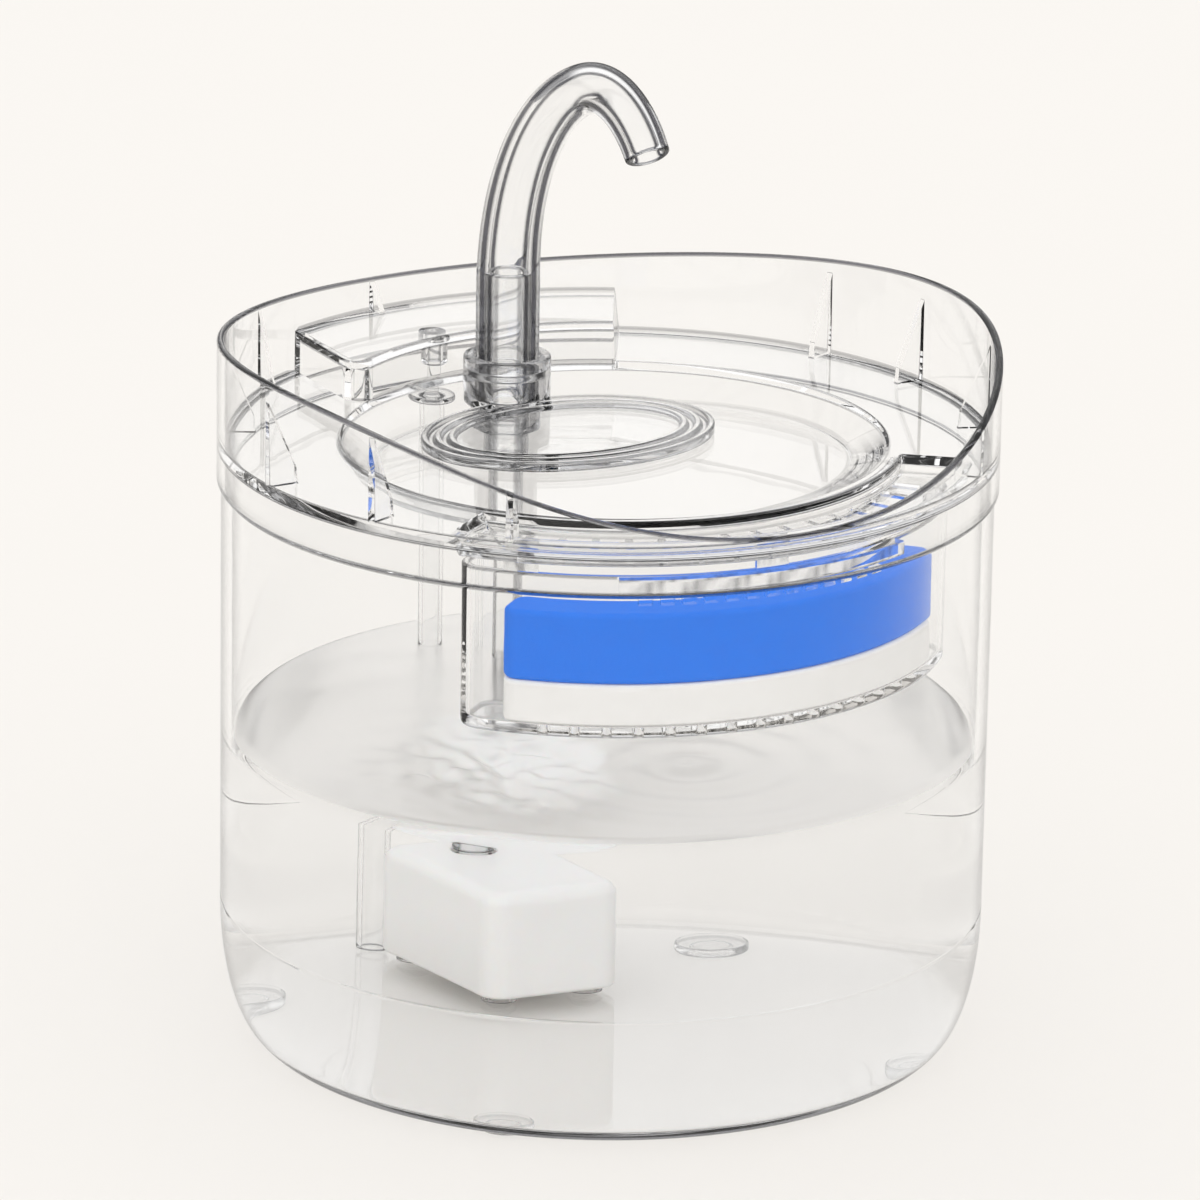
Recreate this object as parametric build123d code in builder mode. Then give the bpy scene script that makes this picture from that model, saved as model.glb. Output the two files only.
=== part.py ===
from build123d import *
from math import cos, radians, sin, sqrt
import os

# A pet water fountain: a clear round tank, a clear drinking tray that sits in its mouth,
# a bent spout fed by a small pump, and a filter box that hangs under the front of the tray.
# The origin is on the surface it stands on, below the middle of the tank. +Z is up and
# -Y is the low drinking side. Millimetres and degrees. Angles called "from front" are
# measured at the tank's axis from -Y, positive towards +X.

# ---- driving dimensions: tank ----
tank_radius = 89.0
tank_wall = 2.6
tank_corner_reach = 9.5         # the rounded lower corner comes in this far
tank_corner_height = 30.0       # and rises this far
seam_height = 134.0             # underside of the tray's skirt
tank_neck_height = 8.0          # the tank's mouth goes this far up inside the skirt
tank_neck_wall = 1.6
foot_radius = 6.9
foot_height = 2.0
foot_inset = 9.5                # from the flat floor's edge to the middle of a foot
foot_count = 4
foot_first_angle = 45.0

# ---- driving dimensions: tray ----
tray_overhang = 1.0             # the tray's skirt stands this far outside the tank
tray_wall = 2.4                 # ledge, dish and deck
skirt_wall = 1.8
rim_front = 11.3                # height of the skirt's rim above the seam, front to back
rim_quarter = 28.8
rim_middle = 35.0
rim_back = 27.4
rim_quarter_reach = 40.0        # from the front of the rim to its steepest stretch
rim_middle_y = 5.0
dish_edge = 5.0                 # between the dish and the drain channel's inner wall
dish_y = -3.0
dish_depth = 6.4
dish_side_slope = 6.0           # how far the dish's wall slopes in at the sides
dish_end_slope = 15.0           # and at the front and back
dish_floor_y = -1.0
deck_height = 9.6               # the raised deck behind the spout, above the ledge
deck_half_angle = 29.0
deck_left_inset = 47.0          # between the tray's outside and the deck's straight end at -X
deck_left_corner = 4.0
rib_angles = [-168, -140, -116, -87, -64, -42, 43, 69, 96, 116]    # from front
rib_depth = 7.0
rib_step = 3.8
rib_rise = 19.5
rib_thickness = 1.6

# ---- driving dimensions: drain channel in the front of the ledge ----
channel_width = 14.0
channel_edge = 6.2              # between the channel and the skirt
channel_depth = 3.6
channel_half_angle = 52.0
channel_wall = 2.0
channel_corner_share = 0.8      # how much of the channel's depth its rounded corners take
drain_slot_length = 6.0
drain_slot_width = 1.8
drain_slot_inset = 4.0          # from the channel's inner wall to the middle of the slots
drain_slot_pitch = 6.0          # degrees
drain_slot_count = 15

# ---- driving dimensions: spout and what carries it ----
spout_setback = 38.5            # from the back of the tray to the spout's axis
collar_radius = 10.35
collar_height = 12.0            # above the dish floor
spout_seat = 1.6                # the spout's foot stands this far above the dish floor
spout_radius = 7.5              # outside, at the foot
spout_tip_radius = 5.2
spout_bore_radius = 4.75        # inside, above the spigot
spout_tip_bore_radius = 3.3
spout_straight = 29.0           # from the foot to the first bend
first_bend_radius = 58.0
first_bend_angle = 68.0
second_bend_radius = 27.3
second_bend_angle = 74.0
spout_sections = 9
spigot_radius = 5.3
spigot_bore_radius = 3.4
spigot_reach = 30.7             # the spigot goes this far up inside the spout
spigot_drop = 15.6              # and this far down below the dish floor
riser_radius = 4.1
riser_wall = 1.2
riser_socket_depth = 9.0
boss_radius = 8.0
boss_length = 6.0
seal_section = 1.5
seal_height = 1.8
seal_above_seat = 5.6

# ---- driving dimensions: spreader plate in the dish ----
spreader_half_x = 36.0
spreader_half_y = 26.0
spreader_lead = 31.5            # the plate's middle is this far in front of the spout
spreader_thickness = 1.4
spreader_ridge_height = 2.4
spreader_ridge_width = 1.6
spreader_ridge_pitch = 3.2
spreader_ridge_count = 3

# ---- driving dimensions: support post behind the pump ----
post_x = -12.5
post_lag = 14.5                 # behind the spout
post_radius = 2.9
post_wall = 0.9
post_flange_radius = 5.5
post_flange_thickness = 1.6
post_flange_below_ledge = 8.0
post_pin_radius = 1.6
post_pin_cover = 1.8            # the pin ends this far below the deck's upper face
post_boss_wall = 1.6
post_boss_length = 6.0

# ---- driving dimensions: filter box and filters ----
box_side_gap = 7.4              # between the box and the tank's wall
box_depth = 16.0                # across its two curved walls
box_half_angle = 53.5
pad_half_angle = 47.5
box_corner = 6.0
box_wall = 2.0
box_height = 38.0
box_lug_angles = [-42, 0, 42]   # from front
box_lug_width = 8.0
lip_reach = 2.5
lip_height = 3.4
lip_half_angle = 26.0
window_width = 3.2
window_height = 1.6
window_drop = 6.0               # below the box's rim
window_pitch = 3.6              # degrees
window_count = 13
grate_slot_length = 7.0
grate_slot_width = 2.4
grate_pitch = 5.5               # degrees
grate_count = 15
cotton_height = 10.0
foam_height = 16.5

# ---- driving dimensions: pump ----
pump_width = 30.0
pump_length = 44.0
pump_height = 25.6
pump_lag = 10.5                 # the pump's rear face is this far behind the spout
pump_wall = 1.6
pump_corner = 4.0
pump_edge = 2.4
cup_radius = 3.6
cup_height = 1.6
cup_inset_x = 5.5
cup_inset_y = 6.0
stem_radius = 1.4
base_thickness = 2.0
intake_slot_length = 14.0
intake_slot_width = 1.8
intake_slot_pitch = 4.2
intake_slot_count = 5
sponge_thickness = 3.0
motor_axis_height = 14.4        # above the pump's lower edge
volute_radius = 8.8
volute_wall = 1.2
volute_length = 11.0
volute_rear_gap = 3.4           # between the volute and the casing's rear wall
intake_hole_radius = 5.6
spider_hub_radius = 3.0
spider_arm_width = 1.2
nozzle_wall = 1.0
nozzle_height = 6.2             # above the casing
well_wall = 0.8
well_length = 15.6
well_flange_thickness = 1.0
magnet_radius = 4.8
magnet_length = 12.3
shaft_radius = 1.0
bush_radius = 2.2
bush_length = 1.6
impeller_radius = 7.0
impeller_disc = 1.2
blade_length = 5.2
blade_thickness = 1.2
blade_count = 6
hub_radius = 2.6
core_leg_width = 3.8
core_height = 9.2
yoke_depth = 4.0
bobbin_wall = 0.8
coil_depth = 1.6
bobbin_flange = 1.0
gland_radius = 3.0
gland_flange_radius = 4.0
gland_length = 3.0
gland_bore_radius = 1.6
gland_height = 8.0
gland_setback = 18.0            # from the pump's front face

# ---- clearances ----
neck_gap = 0.2                  # tank mouth inside the skirt
seam_gap = 0.3
spout_gap = 0.1
spigot_gap = 0.1
seal_gap = 0.05
riser_gap = 0.1
running_gap = 0.05
soft_gap = 0.3
press_gap = 0.02
box_gap = 0.3                   # box rim under the dish
casing_gap = 0.1
well_gap = 0.3                  # magnet inside its well

# ---- levels and places worked out from these ----
tank_floor = foot_height + tank_wall
tank_rim = seam_height + tank_neck_height
tank_bore_radius = tank_radius - tank_wall
tank_floor_radius = tank_radius - tank_corner_reach
foot_circle_radius = tank_floor_radius - foot_inset
tray_radius = tank_radius + tray_overhang
skirt_bore_radius = tray_radius - skirt_wall
rim_quarter_y = rim_quarter_reach - tray_radius
channel_outer_radius = skirt_bore_radius - channel_edge
channel_inner_radius = channel_outer_radius - channel_width
dish_radius = channel_inner_radius - dish_edge
dish_floor_half_x = dish_radius - dish_side_slope
dish_floor_half_y = dish_radius - dish_end_slope
drain_slot_radius = channel_inner_radius + drain_slot_inset
spout_y = tray_radius - spout_setback
spreader_y = spout_y - spreader_lead
post_y = spout_y + post_lag
box_radius = tank_bore_radius - box_side_gap
box_inner_radius = box_radius - box_depth
ledge_top = tank_rim + tray_wall
dish_floor = ledge_top - dish_depth
dish_underside = dish_floor - tray_wall
deck_top = ledge_top + deck_height
deck_left_x = deck_left_inset - tray_radius
collar_top = dish_floor + collar_height
spout_foot = dish_floor + spout_seat
bend_start = spout_foot + spout_straight
spigot_top = spout_foot + spigot_reach
spigot_foot = dish_floor - spigot_drop
channel_underside = ledge_top - channel_depth - channel_wall
box_rim = dish_underside - box_gap
box_foot = box_rim - box_height
box_floor = box_foot + box_wall
pump_foot = tank_floor + cup_height
pump_top = pump_foot + pump_height
pump_rear_y = spout_y + pump_lag
pump_front_y = pump_rear_y - pump_length
pump_middle_y = pump_rear_y - pump_length / 2
motor_axis = pump_foot + motor_axis_height
volute_rear_y = pump_rear_y - pump_wall - volute_rear_gap
volute_front_y = volute_rear_y - volute_length
well_flange_y = volute_front_y - well_flange_thickness
well_front_y = well_flange_y - well_length
well_bore_radius = magnet_radius + well_gap
front_bush_y = well_front_y + well_flange_thickness
magnet_front_y = front_bush_y + bush_length + well_gap
magnet_rear_y = magnet_front_y + magnet_length
shaft_rear_y = volute_rear_y
nozzle_y = spout_y
nozzle_radius = riser_radius - riser_wall - riser_gap

os.makedirs("parts", exist_ok=True)


# A plane that stands on the radius at an angle from the front: its x runs outwards, its y up.
def radial_plane(angle_from_front):
    turn = radians(angle_from_front)
    return Plane(origin=(0, 0, 0), x_dir=(sin(turn), -cos(turn), 0), z_dir=(-cos(turn), -sin(turn), 0))


# A plane across the pump's motor axis: its x runs along +X, its y up, looking along +Y.
def motor_plane(y):
    return Plane(origin=(0, y, motor_axis), x_dir=(1, 0, 0), z_dir=(0, -1, 0))


def finish_piece(builder, name):
    builder.part.label = name
    export_step(builder.part, f"parts/{name}.step")


# ---- tank: a turned cup with a rounded lower corner and a thinner mouth ----
with BuildPart() as tank:
    with BuildSketch(Plane.XZ):
        with BuildLine():
            corner_z = foot_height + tank_corner_height
            neck_radius = skirt_bore_radius - neck_gap
            shoulder = seam_height - seam_gap
            Line((0, foot_height), (tank_floor_radius, foot_height))
            EllipticalCenterArc(
                (tank_floor_radius, corner_z),
                tank_radius - tank_floor_radius,
                tank_corner_height,
                start_angle=270,
                arc_size=90,
            )
            Polyline(
                (tank_radius, corner_z),
                (tank_radius, shoulder),
                (neck_radius, shoulder),
                (neck_radius, tank_rim),
                (neck_radius - tank_neck_wall, tank_rim),
                (neck_radius - tank_neck_wall, shoulder),
                (tank_bore_radius, shoulder - tank_wall),
                (tank_bore_radius, corner_z),
            )
            EllipticalCenterArc(
                (tank_floor_radius, corner_z),
                tank_bore_radius - tank_floor_radius,
                tank_corner_height - tank_wall,
                start_angle=270,
                arc_size=90,
            )
            Polyline((tank_floor_radius, tank_floor), (0, tank_floor), (0, foot_height))
        make_face()
    revolve(axis=Axis.Z)
finish_piece(tank, "tank")

with BuildPart() as tank_feet:
    with BuildSketch():
        with PolarLocations(foot_circle_radius, foot_count, start_angle=foot_first_angle):
            Circle(foot_radius)
    extrude(amount=foot_height)
    chamfer(tank_feet.faces().sort_by(Axis.Z)[:foot_count].edges(), foot_height / 4)
finish_piece(tank_feet, "tank_feet")


# ---- tray: skirt, ledge, dish, drain channel, deck, spout collar and stiffening ribs ----
# The deck's +X end is radial; its -X end is straight, with a rounded corner at the dish.
def draw_deck_plan(inset):
    Circle(skirt_bore_radius + skirt_wall / 2 - inset)
    with Locations((0, dish_y)):
        Circle(dish_radius + inset, mode=Mode.SUBTRACT)
    reach = 2 * tray_radius
    half = radians(deck_half_angle)
    tip_y = inset / sin(half)
    left_x = deck_left_x + inset
    corner_y = dish_y + sqrt((dish_radius + inset)**2 - left_x**2)
    with BuildLine() as wedge:
        Polyline(
            (0, tip_y),
            (reach * sin(half), tip_y + reach * cos(half)),
            (left_x, tip_y + reach * cos(half)),
            (left_x, corner_y - deck_left_corner),
            close=True,
        )
    make_face(wedge.edges(), mode=Mode.INTERSECT)
    corner = vertices().sort_by_distance((left_x, corner_y))[0]
    fillet(corner, deck_left_corner - inset)


with BuildPart() as tray:
    with BuildSketch(Plane.XY.offset(seam_height)):
        Circle(tray_radius)
        Circle(skirt_bore_radius, mode=Mode.SUBTRACT)
    extrude(amount=2 * rim_middle)
    with BuildSketch(Plane.XY.offset(tank_rim)):
        Circle(skirt_bore_radius + skirt_wall / 2)
    extrude(amount=tray_wall)

    for angle in rib_angles:
        with BuildSketch(radial_plane(angle)):
            rib_edge = skirt_bore_radius - rib_depth
            rib_root = skirt_bore_radius + skirt_wall / 2
            rib_floor = ledge_top - tray_wall / 2
            with BuildLine():
                Polyline(
                    (rib_edge, rib_floor),
                    (rib_edge, ledge_top + rib_step),
                    (skirt_bore_radius, ledge_top + rib_rise),
                    (rib_root, ledge_top + rib_rise),
                    (rib_root, rib_floor),
                    close=True,
                )
            make_face()
        extrude(amount=rib_thickness / 2, both=True)

    # the rim is highest beside the middle, a little lower at the back and lowest at the front
    with BuildSketch(Plane.YZ):
        with BuildLine():
            top = seam_height + 3 * rim_middle
            rim_line = Spline(
                (-tray_radius, seam_height + rim_front),
                (rim_quarter_y, seam_height + rim_quarter),
                (rim_middle_y, seam_height + rim_middle),
                (tray_radius, seam_height + rim_back),
            )
            Polyline(rim_line @ 1, (tray_radius, top), (-tray_radius, top), rim_line @ 0)
        make_face()
    extrude(amount=tray_radius, both=True, mode=Mode.SUBTRACT)

    # drain channel along the front of the ledge
    with BuildSketch(radial_plane(-channel_half_angle)):
        with BuildLine():
            Polyline(
                (channel_inner_radius - channel_wall, channel_underside),
                (channel_outer_radius + channel_wall, channel_underside),
                (channel_outer_radius + channel_wall, tank_rim + tray_wall / 2),
                (channel_inner_radius - channel_wall, tank_rim + tray_wall / 2),
                close=True,
            )
        make_face()
    revolve(axis=Axis.Z, revolution_arc=2 * channel_half_angle)

    # dish
    with BuildSketch(Plane.XY.offset(dish_underside)):
        with Locations((0, dish_floor_y)):
            Ellipse(dish_floor_half_x + tray_wall, dish_floor_half_y + tray_wall)
    with BuildSketch(Plane.XY.offset(ledge_top)):
        with Locations((0, dish_y)):
            Circle(dish_radius + tray_wall)
    loft()
    with BuildSketch(Plane.XY.offset(dish_floor)):
        with Locations((0, dish_floor_y)):
            Ellipse(dish_floor_half_x, dish_floor_half_y)
    with BuildSketch(Plane.XY.offset(ledge_top)):
        with Locations((0, dish_y)):
            Circle(dish_radius)
    loft(mode=Mode.SUBTRACT)

    with BuildSketch(radial_plane(-channel_half_angle)):
        with BuildLine():
            channel_bend = channel_depth * channel_corner_share
            FilletPolyline(
                (channel_inner_radius, ledge_top),
                (channel_inner_radius, ledge_top - channel_depth),
                (channel_outer_radius, ledge_top - channel_depth),
                (channel_outer_radius, ledge_top),
                radius=channel_bend,
            )
            Line((channel_outer_radius, ledge_top), (channel_inner_radius, ledge_top))
        make_face()
    revolve(axis=Axis.Z, revolution_arc=2 * channel_half_angle, mode=Mode.SUBTRACT)
    with BuildSketch(Plane.XY.offset(channel_underside)):
        first_slot = -90 - drain_slot_pitch * (drain_slot_count - 1) / 2
        with PolarLocations(
            drain_slot_radius,
            drain_slot_count,
            start_angle=first_slot,
            angular_range=drain_slot_pitch * (drain_slot_count - 1),
            endpoint=True,
        ):
            SlotOverall(drain_slot_length, drain_slot_width)
    extrude(amount=channel_depth, mode=Mode.SUBTRACT)

    # raised deck behind the spout, open underneath
    with BuildSketch(Plane.XY.offset(tank_rim)):
        draw_deck_plan(0)
    extrude(amount=deck_top - tank_rim)
    with BuildSketch(Plane.XY.offset(tank_rim - tray_wall)):
        draw_deck_plan(tray_wall)
    extrude(amount=deck_top - tank_rim, mode=Mode.SUBTRACT)
    with BuildSketch(Plane.XY.offset(deck_top - tray_wall - post_boss_length)):
        with Locations((post_x, post_y)):
            Circle(post_pin_radius + press_gap + post_boss_wall)
    extrude(amount=post_boss_length + tray_wall / 2)
    with BuildSketch(Plane.XY.offset(deck_top - tray_wall - post_boss_length)):
        with Locations((post_x, post_y)):
            Circle(post_pin_radius + press_gap)
    extrude(amount=post_boss_length + tray_wall - post_pin_cover, mode=Mode.SUBTRACT)

    # collar that holds the spout's foot, with a boss below for the spigot
    with BuildSketch(Plane.XY.offset(dish_underside - boss_length)):
        with Locations((0, spout_y)):
            Circle(boss_radius)
    extrude(amount=boss_length)
    with BuildSketch(Plane.XY.offset(dish_underside)):
        with Locations((0, spout_y)):
            Circle(collar_radius)
    extrude(amount=collar_top - dish_underside)
    with BuildSketch(Plane.XY.offset(dish_underside - boss_length)):
        with Locations((0, spout_y)):
            Circle(spigot_radius + press_gap)
    extrude(amount=spout_foot - dish_underside + boss_length, mode=Mode.SUBTRACT)
    with BuildSketch(Plane.XY.offset(spout_foot)):
        with Locations((0, spout_y)):
            Circle(spout_radius + spout_gap)
    extrude(amount=collar_top - spout_foot, mode=Mode.SUBTRACT)
    with BuildSketch(Plane.XY.offset(spout_foot + seal_above_seat)):
        with Locations((0, spout_y)):
            Circle(spout_radius + seal_section + 2 * seal_gap)
    extrude(amount=seal_height + 2 * seal_gap, mode=Mode.SUBTRACT)
finish_piece(tray, "tray")

# ---- spout seal: an O-ring in the collar's groove ----
with BuildPart() as spout_seal:
    with BuildSketch(Plane.XZ):
        seal_middle = spout_foot + seal_above_seat + seal_gap + seal_height / 2
        with Locations((spout_radius + seal_gap + seal_section / 2, seal_middle)):
            Ellipse(seal_section / 2, seal_height / 2)
    revolve(axis=Axis.Z)
spout_seal.part = spout_seal.part.moved(Location((0, spout_y, 0)))
finish_piece(spout_seal, "spout_seal")


# ---- spout: straight foot over the spigot, then two bends, narrowing to its tip ----
with BuildPart() as spout:
    with BuildSketch(Plane.XY.offset(spout_foot)):
        with Locations((0, spout_y)):
            Circle(spout_radius)
    extrude(amount=spout_straight)
    with BuildLine(Plane.YZ) as spout_bend:
        first_bend = JernArc((spout_y, bend_start), (0, 1), first_bend_radius, first_bend_angle)
        JernArc(first_bend @ 1, first_bend % 1, second_bend_radius, second_bend_angle)
    bend_wire = spout_bend.wire()
    for base, tip, mode in (
        (spout_radius, spout_tip_radius, Mode.ADD),
        (spout_bore_radius, spout_tip_bore_radius, Mode.SUBTRACT),
    ):
        for i in range(spout_sections):
            along = i / (spout_sections - 1)
            section = Plane(origin=bend_wire @ along, x_dir=(1, 0, 0), z_dir=bend_wire % along)
            with BuildSketch(section):
                Circle(base + (tip - base) * along)
        loft(mode=mode)
    with BuildSketch(Plane.XY.offset(spout_foot)):
        with Locations((0, spout_y)):
            Circle(spout_bore_radius)
    extrude(amount=spout_straight, mode=Mode.SUBTRACT)
    with BuildSketch(Plane.XY.offset(spout_foot)):
        with Locations((0, spout_y)):
            Circle(spigot_radius + spigot_gap)
    extrude(amount=spigot_reach + spigot_gap, mode=Mode.SUBTRACT)
finish_piece(spout, "spout")

# ---- spigot: fixed in the tray, it feeds the spout and holds it upright ----
with BuildPart() as spigot:
    with BuildSketch(Plane.XY.offset(spigot_foot)):
        with Locations((0, spout_y)):
            Circle(spigot_radius)
            Circle(spigot_bore_radius, mode=Mode.SUBTRACT)
    extrude(amount=spigot_top - spigot_foot)
    with BuildSketch(Plane.XY.offset(spigot_foot)):
        with Locations((0, spout_y)):
            Circle(riser_radius + press_gap)
    extrude(amount=riser_socket_depth, mode=Mode.SUBTRACT)
finish_piece(spigot, "spigot")

# ---- riser: clear tube from the pump's nozzle to the spigot ----
with BuildPart() as riser:
    with BuildSketch(Plane.XY.offset(pump_top + soft_gap)):
        with Locations((0, spout_y)):
            Circle(riser_radius)
            Circle(riser_radius - riser_wall, mode=Mode.SUBTRACT)
    extrude(amount=spigot_foot + riser_socket_depth - pump_top - soft_gap)
finish_piece(riser, "riser")

# ---- spreader plate: low oval island with ridges, in the back of the dish ----
with BuildPart() as spreader:
    with BuildSketch(Plane.XY.offset(dish_floor)):
        with Locations((0, spreader_y)):
            Ellipse(spreader_half_x, spreader_half_y)
    extrude(amount=spreader_thickness)
    for i in range(spreader_ridge_count):
        inset = i * spreader_ridge_pitch
        with BuildSketch(Plane.XY.offset(dish_floor)):
            with Locations((0, spreader_y)):
                Ellipse(spreader_half_x - inset, spreader_half_y - inset)
                Ellipse(
                    spreader_half_x - inset - spreader_ridge_width,
                    spreader_half_y - inset - spreader_ridge_width,
                    mode=Mode.SUBTRACT,
                )
        extrude(amount=spreader_ridge_height)
    with BuildSketch(Plane.XY.offset(dish_floor)):
        with Locations((0, spout_y)):
            Circle(collar_radius + soft_gap)
    extrude(amount=2 * spreader_ridge_height, mode=Mode.SUBTRACT)
finish_piece(spreader, "spreader")

# ---- support post: stands on the tank floor behind the pump, its pin in the deck ----
with BuildPart() as support_post:
    flange_top = ledge_top - post_flange_below_ledge
    with BuildSketch(Plane.XY.offset(tank_floor)):
        with Locations((post_x, post_y)):
            Circle(post_radius)
            Circle(post_radius - post_wall, mode=Mode.SUBTRACT)
    extrude(amount=flange_top - tank_floor)
    with BuildSketch(Plane.XY.offset(flange_top - post_flange_thickness)):
        with Locations((post_x, post_y)):
            Circle(post_flange_radius)
    extrude(amount=post_flange_thickness)
    with BuildSketch(Plane.XY.offset(flange_top)):
        with Locations((post_x, post_y)):
            Circle(post_pin_radius)
    extrude(amount=deck_top - post_pin_cover - flange_top)
finish_piece(support_post, "support_post")


# ---- filter box and filters: curved in plan, along the tank's front ----
def draw_filter_plan(inset, half_angle):
    Circle(box_radius - inset)
    Circle(box_inner_radius + inset, mode=Mode.SUBTRACT)
    reach = 2 * tank_radius
    half = radians(half_angle)
    tip_y = -inset / sin(half)
    with BuildLine() as wedge:
        Polyline(
            (0, tip_y),
            (reach * sin(half), tip_y - reach * cos(half)),
            (-reach * sin(half), tip_y - reach * cos(half)),
            close=True,
        )
    make_face(wedge.edges(), mode=Mode.INTERSECT)
    fillet(vertices(), box_corner - inset)


with BuildPart() as filter_box:
    with BuildSketch(Plane.XY.offset(box_foot)):
        draw_filter_plan(0, box_half_angle)
    extrude(amount=box_height)
    with BuildSketch(radial_plane(-lip_half_angle)):
        with Locations((box_radius - box_wall / 2, box_rim - lip_height)):
            Rectangle(lip_reach + box_wall / 2, lip_height, align=(Align.MIN, Align.MIN))
    revolve(axis=Axis.Z, revolution_arc=2 * lip_half_angle)
    for angle in box_lug_angles:
        with BuildSketch(radial_plane(angle)):
            with Locations((box_radius - box_wall, box_rim - lip_height)):
                lug_height = channel_underside - box_rim + lip_height
                Rectangle(box_wall / 2, lug_height, align=(Align.MIN, Align.MIN))
        extrude(amount=box_lug_width / 2, both=True)
    with BuildSketch(Plane.XY.offset(box_floor)):
        draw_filter_plan(box_wall, box_half_angle)
    extrude(amount=2 * box_height, mode=Mode.SUBTRACT)
    with BuildSketch(Plane.XY.offset(box_foot)):
        grate_range = grate_pitch * (grate_count - 1)
        with PolarLocations(
            box_radius - box_depth / 2,
            grate_count,
            start_angle=-90 - grate_range / 2,
            angular_range=grate_range,
            endpoint=True,
        ):
            SlotOverall(grate_slot_length, grate_slot_width)
    extrude(amount=box_wall, mode=Mode.SUBTRACT)
    for i in range(window_count):
        angle = window_pitch * (i - (window_count - 1) / 2)
        with BuildSketch(radial_plane(angle)):
            with Locations((box_radius, box_rim - window_drop)):
                Rectangle(3 * box_wall, window_height)
        extrude(amount=window_width / 2, both=True, mode=Mode.SUBTRACT)
finish_piece(filter_box, "filter_box")

with BuildPart() as filter_cotton:
    with BuildSketch(Plane.XY.offset(box_floor)):
        draw_filter_plan(box_wall + soft_gap, pad_half_angle)
    extrude(amount=cotton_height)
finish_piece(filter_cotton, "filter_cotton")

with BuildPart() as filter_foam:
    with BuildSketch(Plane.XY.offset(box_floor + cotton_height)):
        draw_filter_plan(box_wall + soft_gap, pad_half_angle)
    extrude(amount=foam_height)
finish_piece(filter_foam, "filter_foam")


# ---- pump ----
# Plan of the casing, drawn smaller by an inset.
def draw_pump_plan(inset):
    with Locations((0, pump_middle_y)):
        RectangleRounded(pump_width - 2 * inset, pump_length - 2 * inset, pump_corner - inset)


with BuildPart() as pump_casing:
    with BuildSketch(Plane.XY.offset(pump_foot)):
        draw_pump_plan(0)
    extrude(amount=pump_height)
    fillet(pump_casing.faces().sort_by(Axis.Z)[-1].edges(), pump_edge)
    with BuildSketch(Plane.XY.offset(pump_foot)):
        draw_pump_plan(pump_wall)
    extrude(amount=pump_height - pump_wall, mode=Mode.SUBTRACT)
    with BuildSketch(Plane.XY.offset(pump_top - 2 * pump_wall)):
        with Locations((0, nozzle_y)):
            Circle(nozzle_radius + casing_gap)
    extrude(amount=3 * pump_wall, mode=Mode.SUBTRACT)
    with BuildSketch(Plane.YZ.offset(pump_width / 2 - 2 * pump_wall)):
        with Locations((pump_front_y + gland_setback, pump_foot + gland_height)):
            Circle(gland_radius + press_gap)
    extrude(amount=3 * pump_wall, mode=Mode.SUBTRACT)
finish_piece(pump_casing, "pump_casing")

cup_spacing_x = pump_width - 2 * cup_inset_x
cup_spacing_y = pump_length - 2 * cup_inset_y
with BuildPart() as pump_base:
    with BuildSketch(Plane.XY.offset(pump_foot)):
        draw_pump_plan(pump_wall + casing_gap)
        with Locations((0, pump_middle_y)):
            with GridLocations(cup_spacing_x, cup_spacing_y, 2, 2):
                Circle(stem_radius + press_gap, mode=Mode.SUBTRACT)
            with GridLocations(0, intake_slot_pitch, 1, intake_slot_count):
                SlotOverall(intake_slot_length, intake_slot_width, mode=Mode.SUBTRACT)
    extrude(amount=base_thickness)
finish_piece(pump_base, "pump_base")

with BuildPart() as pump_feet:
    with BuildSketch(Plane.XY.offset(tank_floor)):
        with Locations((0, pump_middle_y)):
            with GridLocations(cup_spacing_x, cup_spacing_y, 2, 2):
                Circle(cup_radius)
    extrude(amount=cup_height)
    with BuildSketch(Plane.XY.offset(pump_foot)):
        with Locations((0, pump_middle_y)):
            with GridLocations(cup_spacing_x, cup_spacing_y, 2, 2):
                Circle(stem_radius)
    extrude(amount=base_thickness)
finish_piece(pump_feet, "pump_feet")

with BuildPart() as intake_sponge:
    with BuildSketch(Plane.XY.offset(pump_foot + base_thickness)):
        draw_pump_plan(pump_wall + soft_gap)
    extrude(amount=sponge_thickness)
finish_piece(intake_sponge, "intake_sponge")

# The volute is a cup along Y, open to the well; water enters through its rear wall.
with BuildPart() as volute:
    with BuildSketch(motor_plane(volute_front_y)):
        Circle(volute_radius)
    extrude(amount=-volute_length)
    with BuildSketch(Plane.XY.offset(motor_axis)):
        with Locations((0, nozzle_y)):
            Circle(nozzle_radius)
    extrude(amount=pump_top + nozzle_height - motor_axis)
    with BuildSketch(motor_plane(volute_front_y)):
        Circle(volute_radius - volute_wall)
    extrude(amount=-(volute_length - volute_wall), mode=Mode.SUBTRACT)
    with BuildSketch(Plane.XY.offset(motor_axis)):
        with Locations((0, nozzle_y)):
            Circle(nozzle_radius - nozzle_wall)
    extrude(amount=pump_top + nozzle_height - motor_axis, mode=Mode.SUBTRACT)
    with BuildSketch(motor_plane(volute_rear_y - volute_wall)):
        Circle(intake_hole_radius)
        Circle(spider_hub_radius, mode=Mode.SUBTRACT)
        Rectangle(2 * intake_hole_radius, spider_arm_width, mode=Mode.SUBTRACT)
        Rectangle(spider_arm_width, 2 * intake_hole_radius, mode=Mode.SUBTRACT)
    extrude(amount=-volute_wall, mode=Mode.SUBTRACT)
    with BuildSketch(motor_plane(volute_rear_y - bush_length)):
        Circle(bush_radius + press_gap)
    extrude(amount=-bush_length, mode=Mode.SUBTRACT)
finish_piece(volute, "volute")

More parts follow.
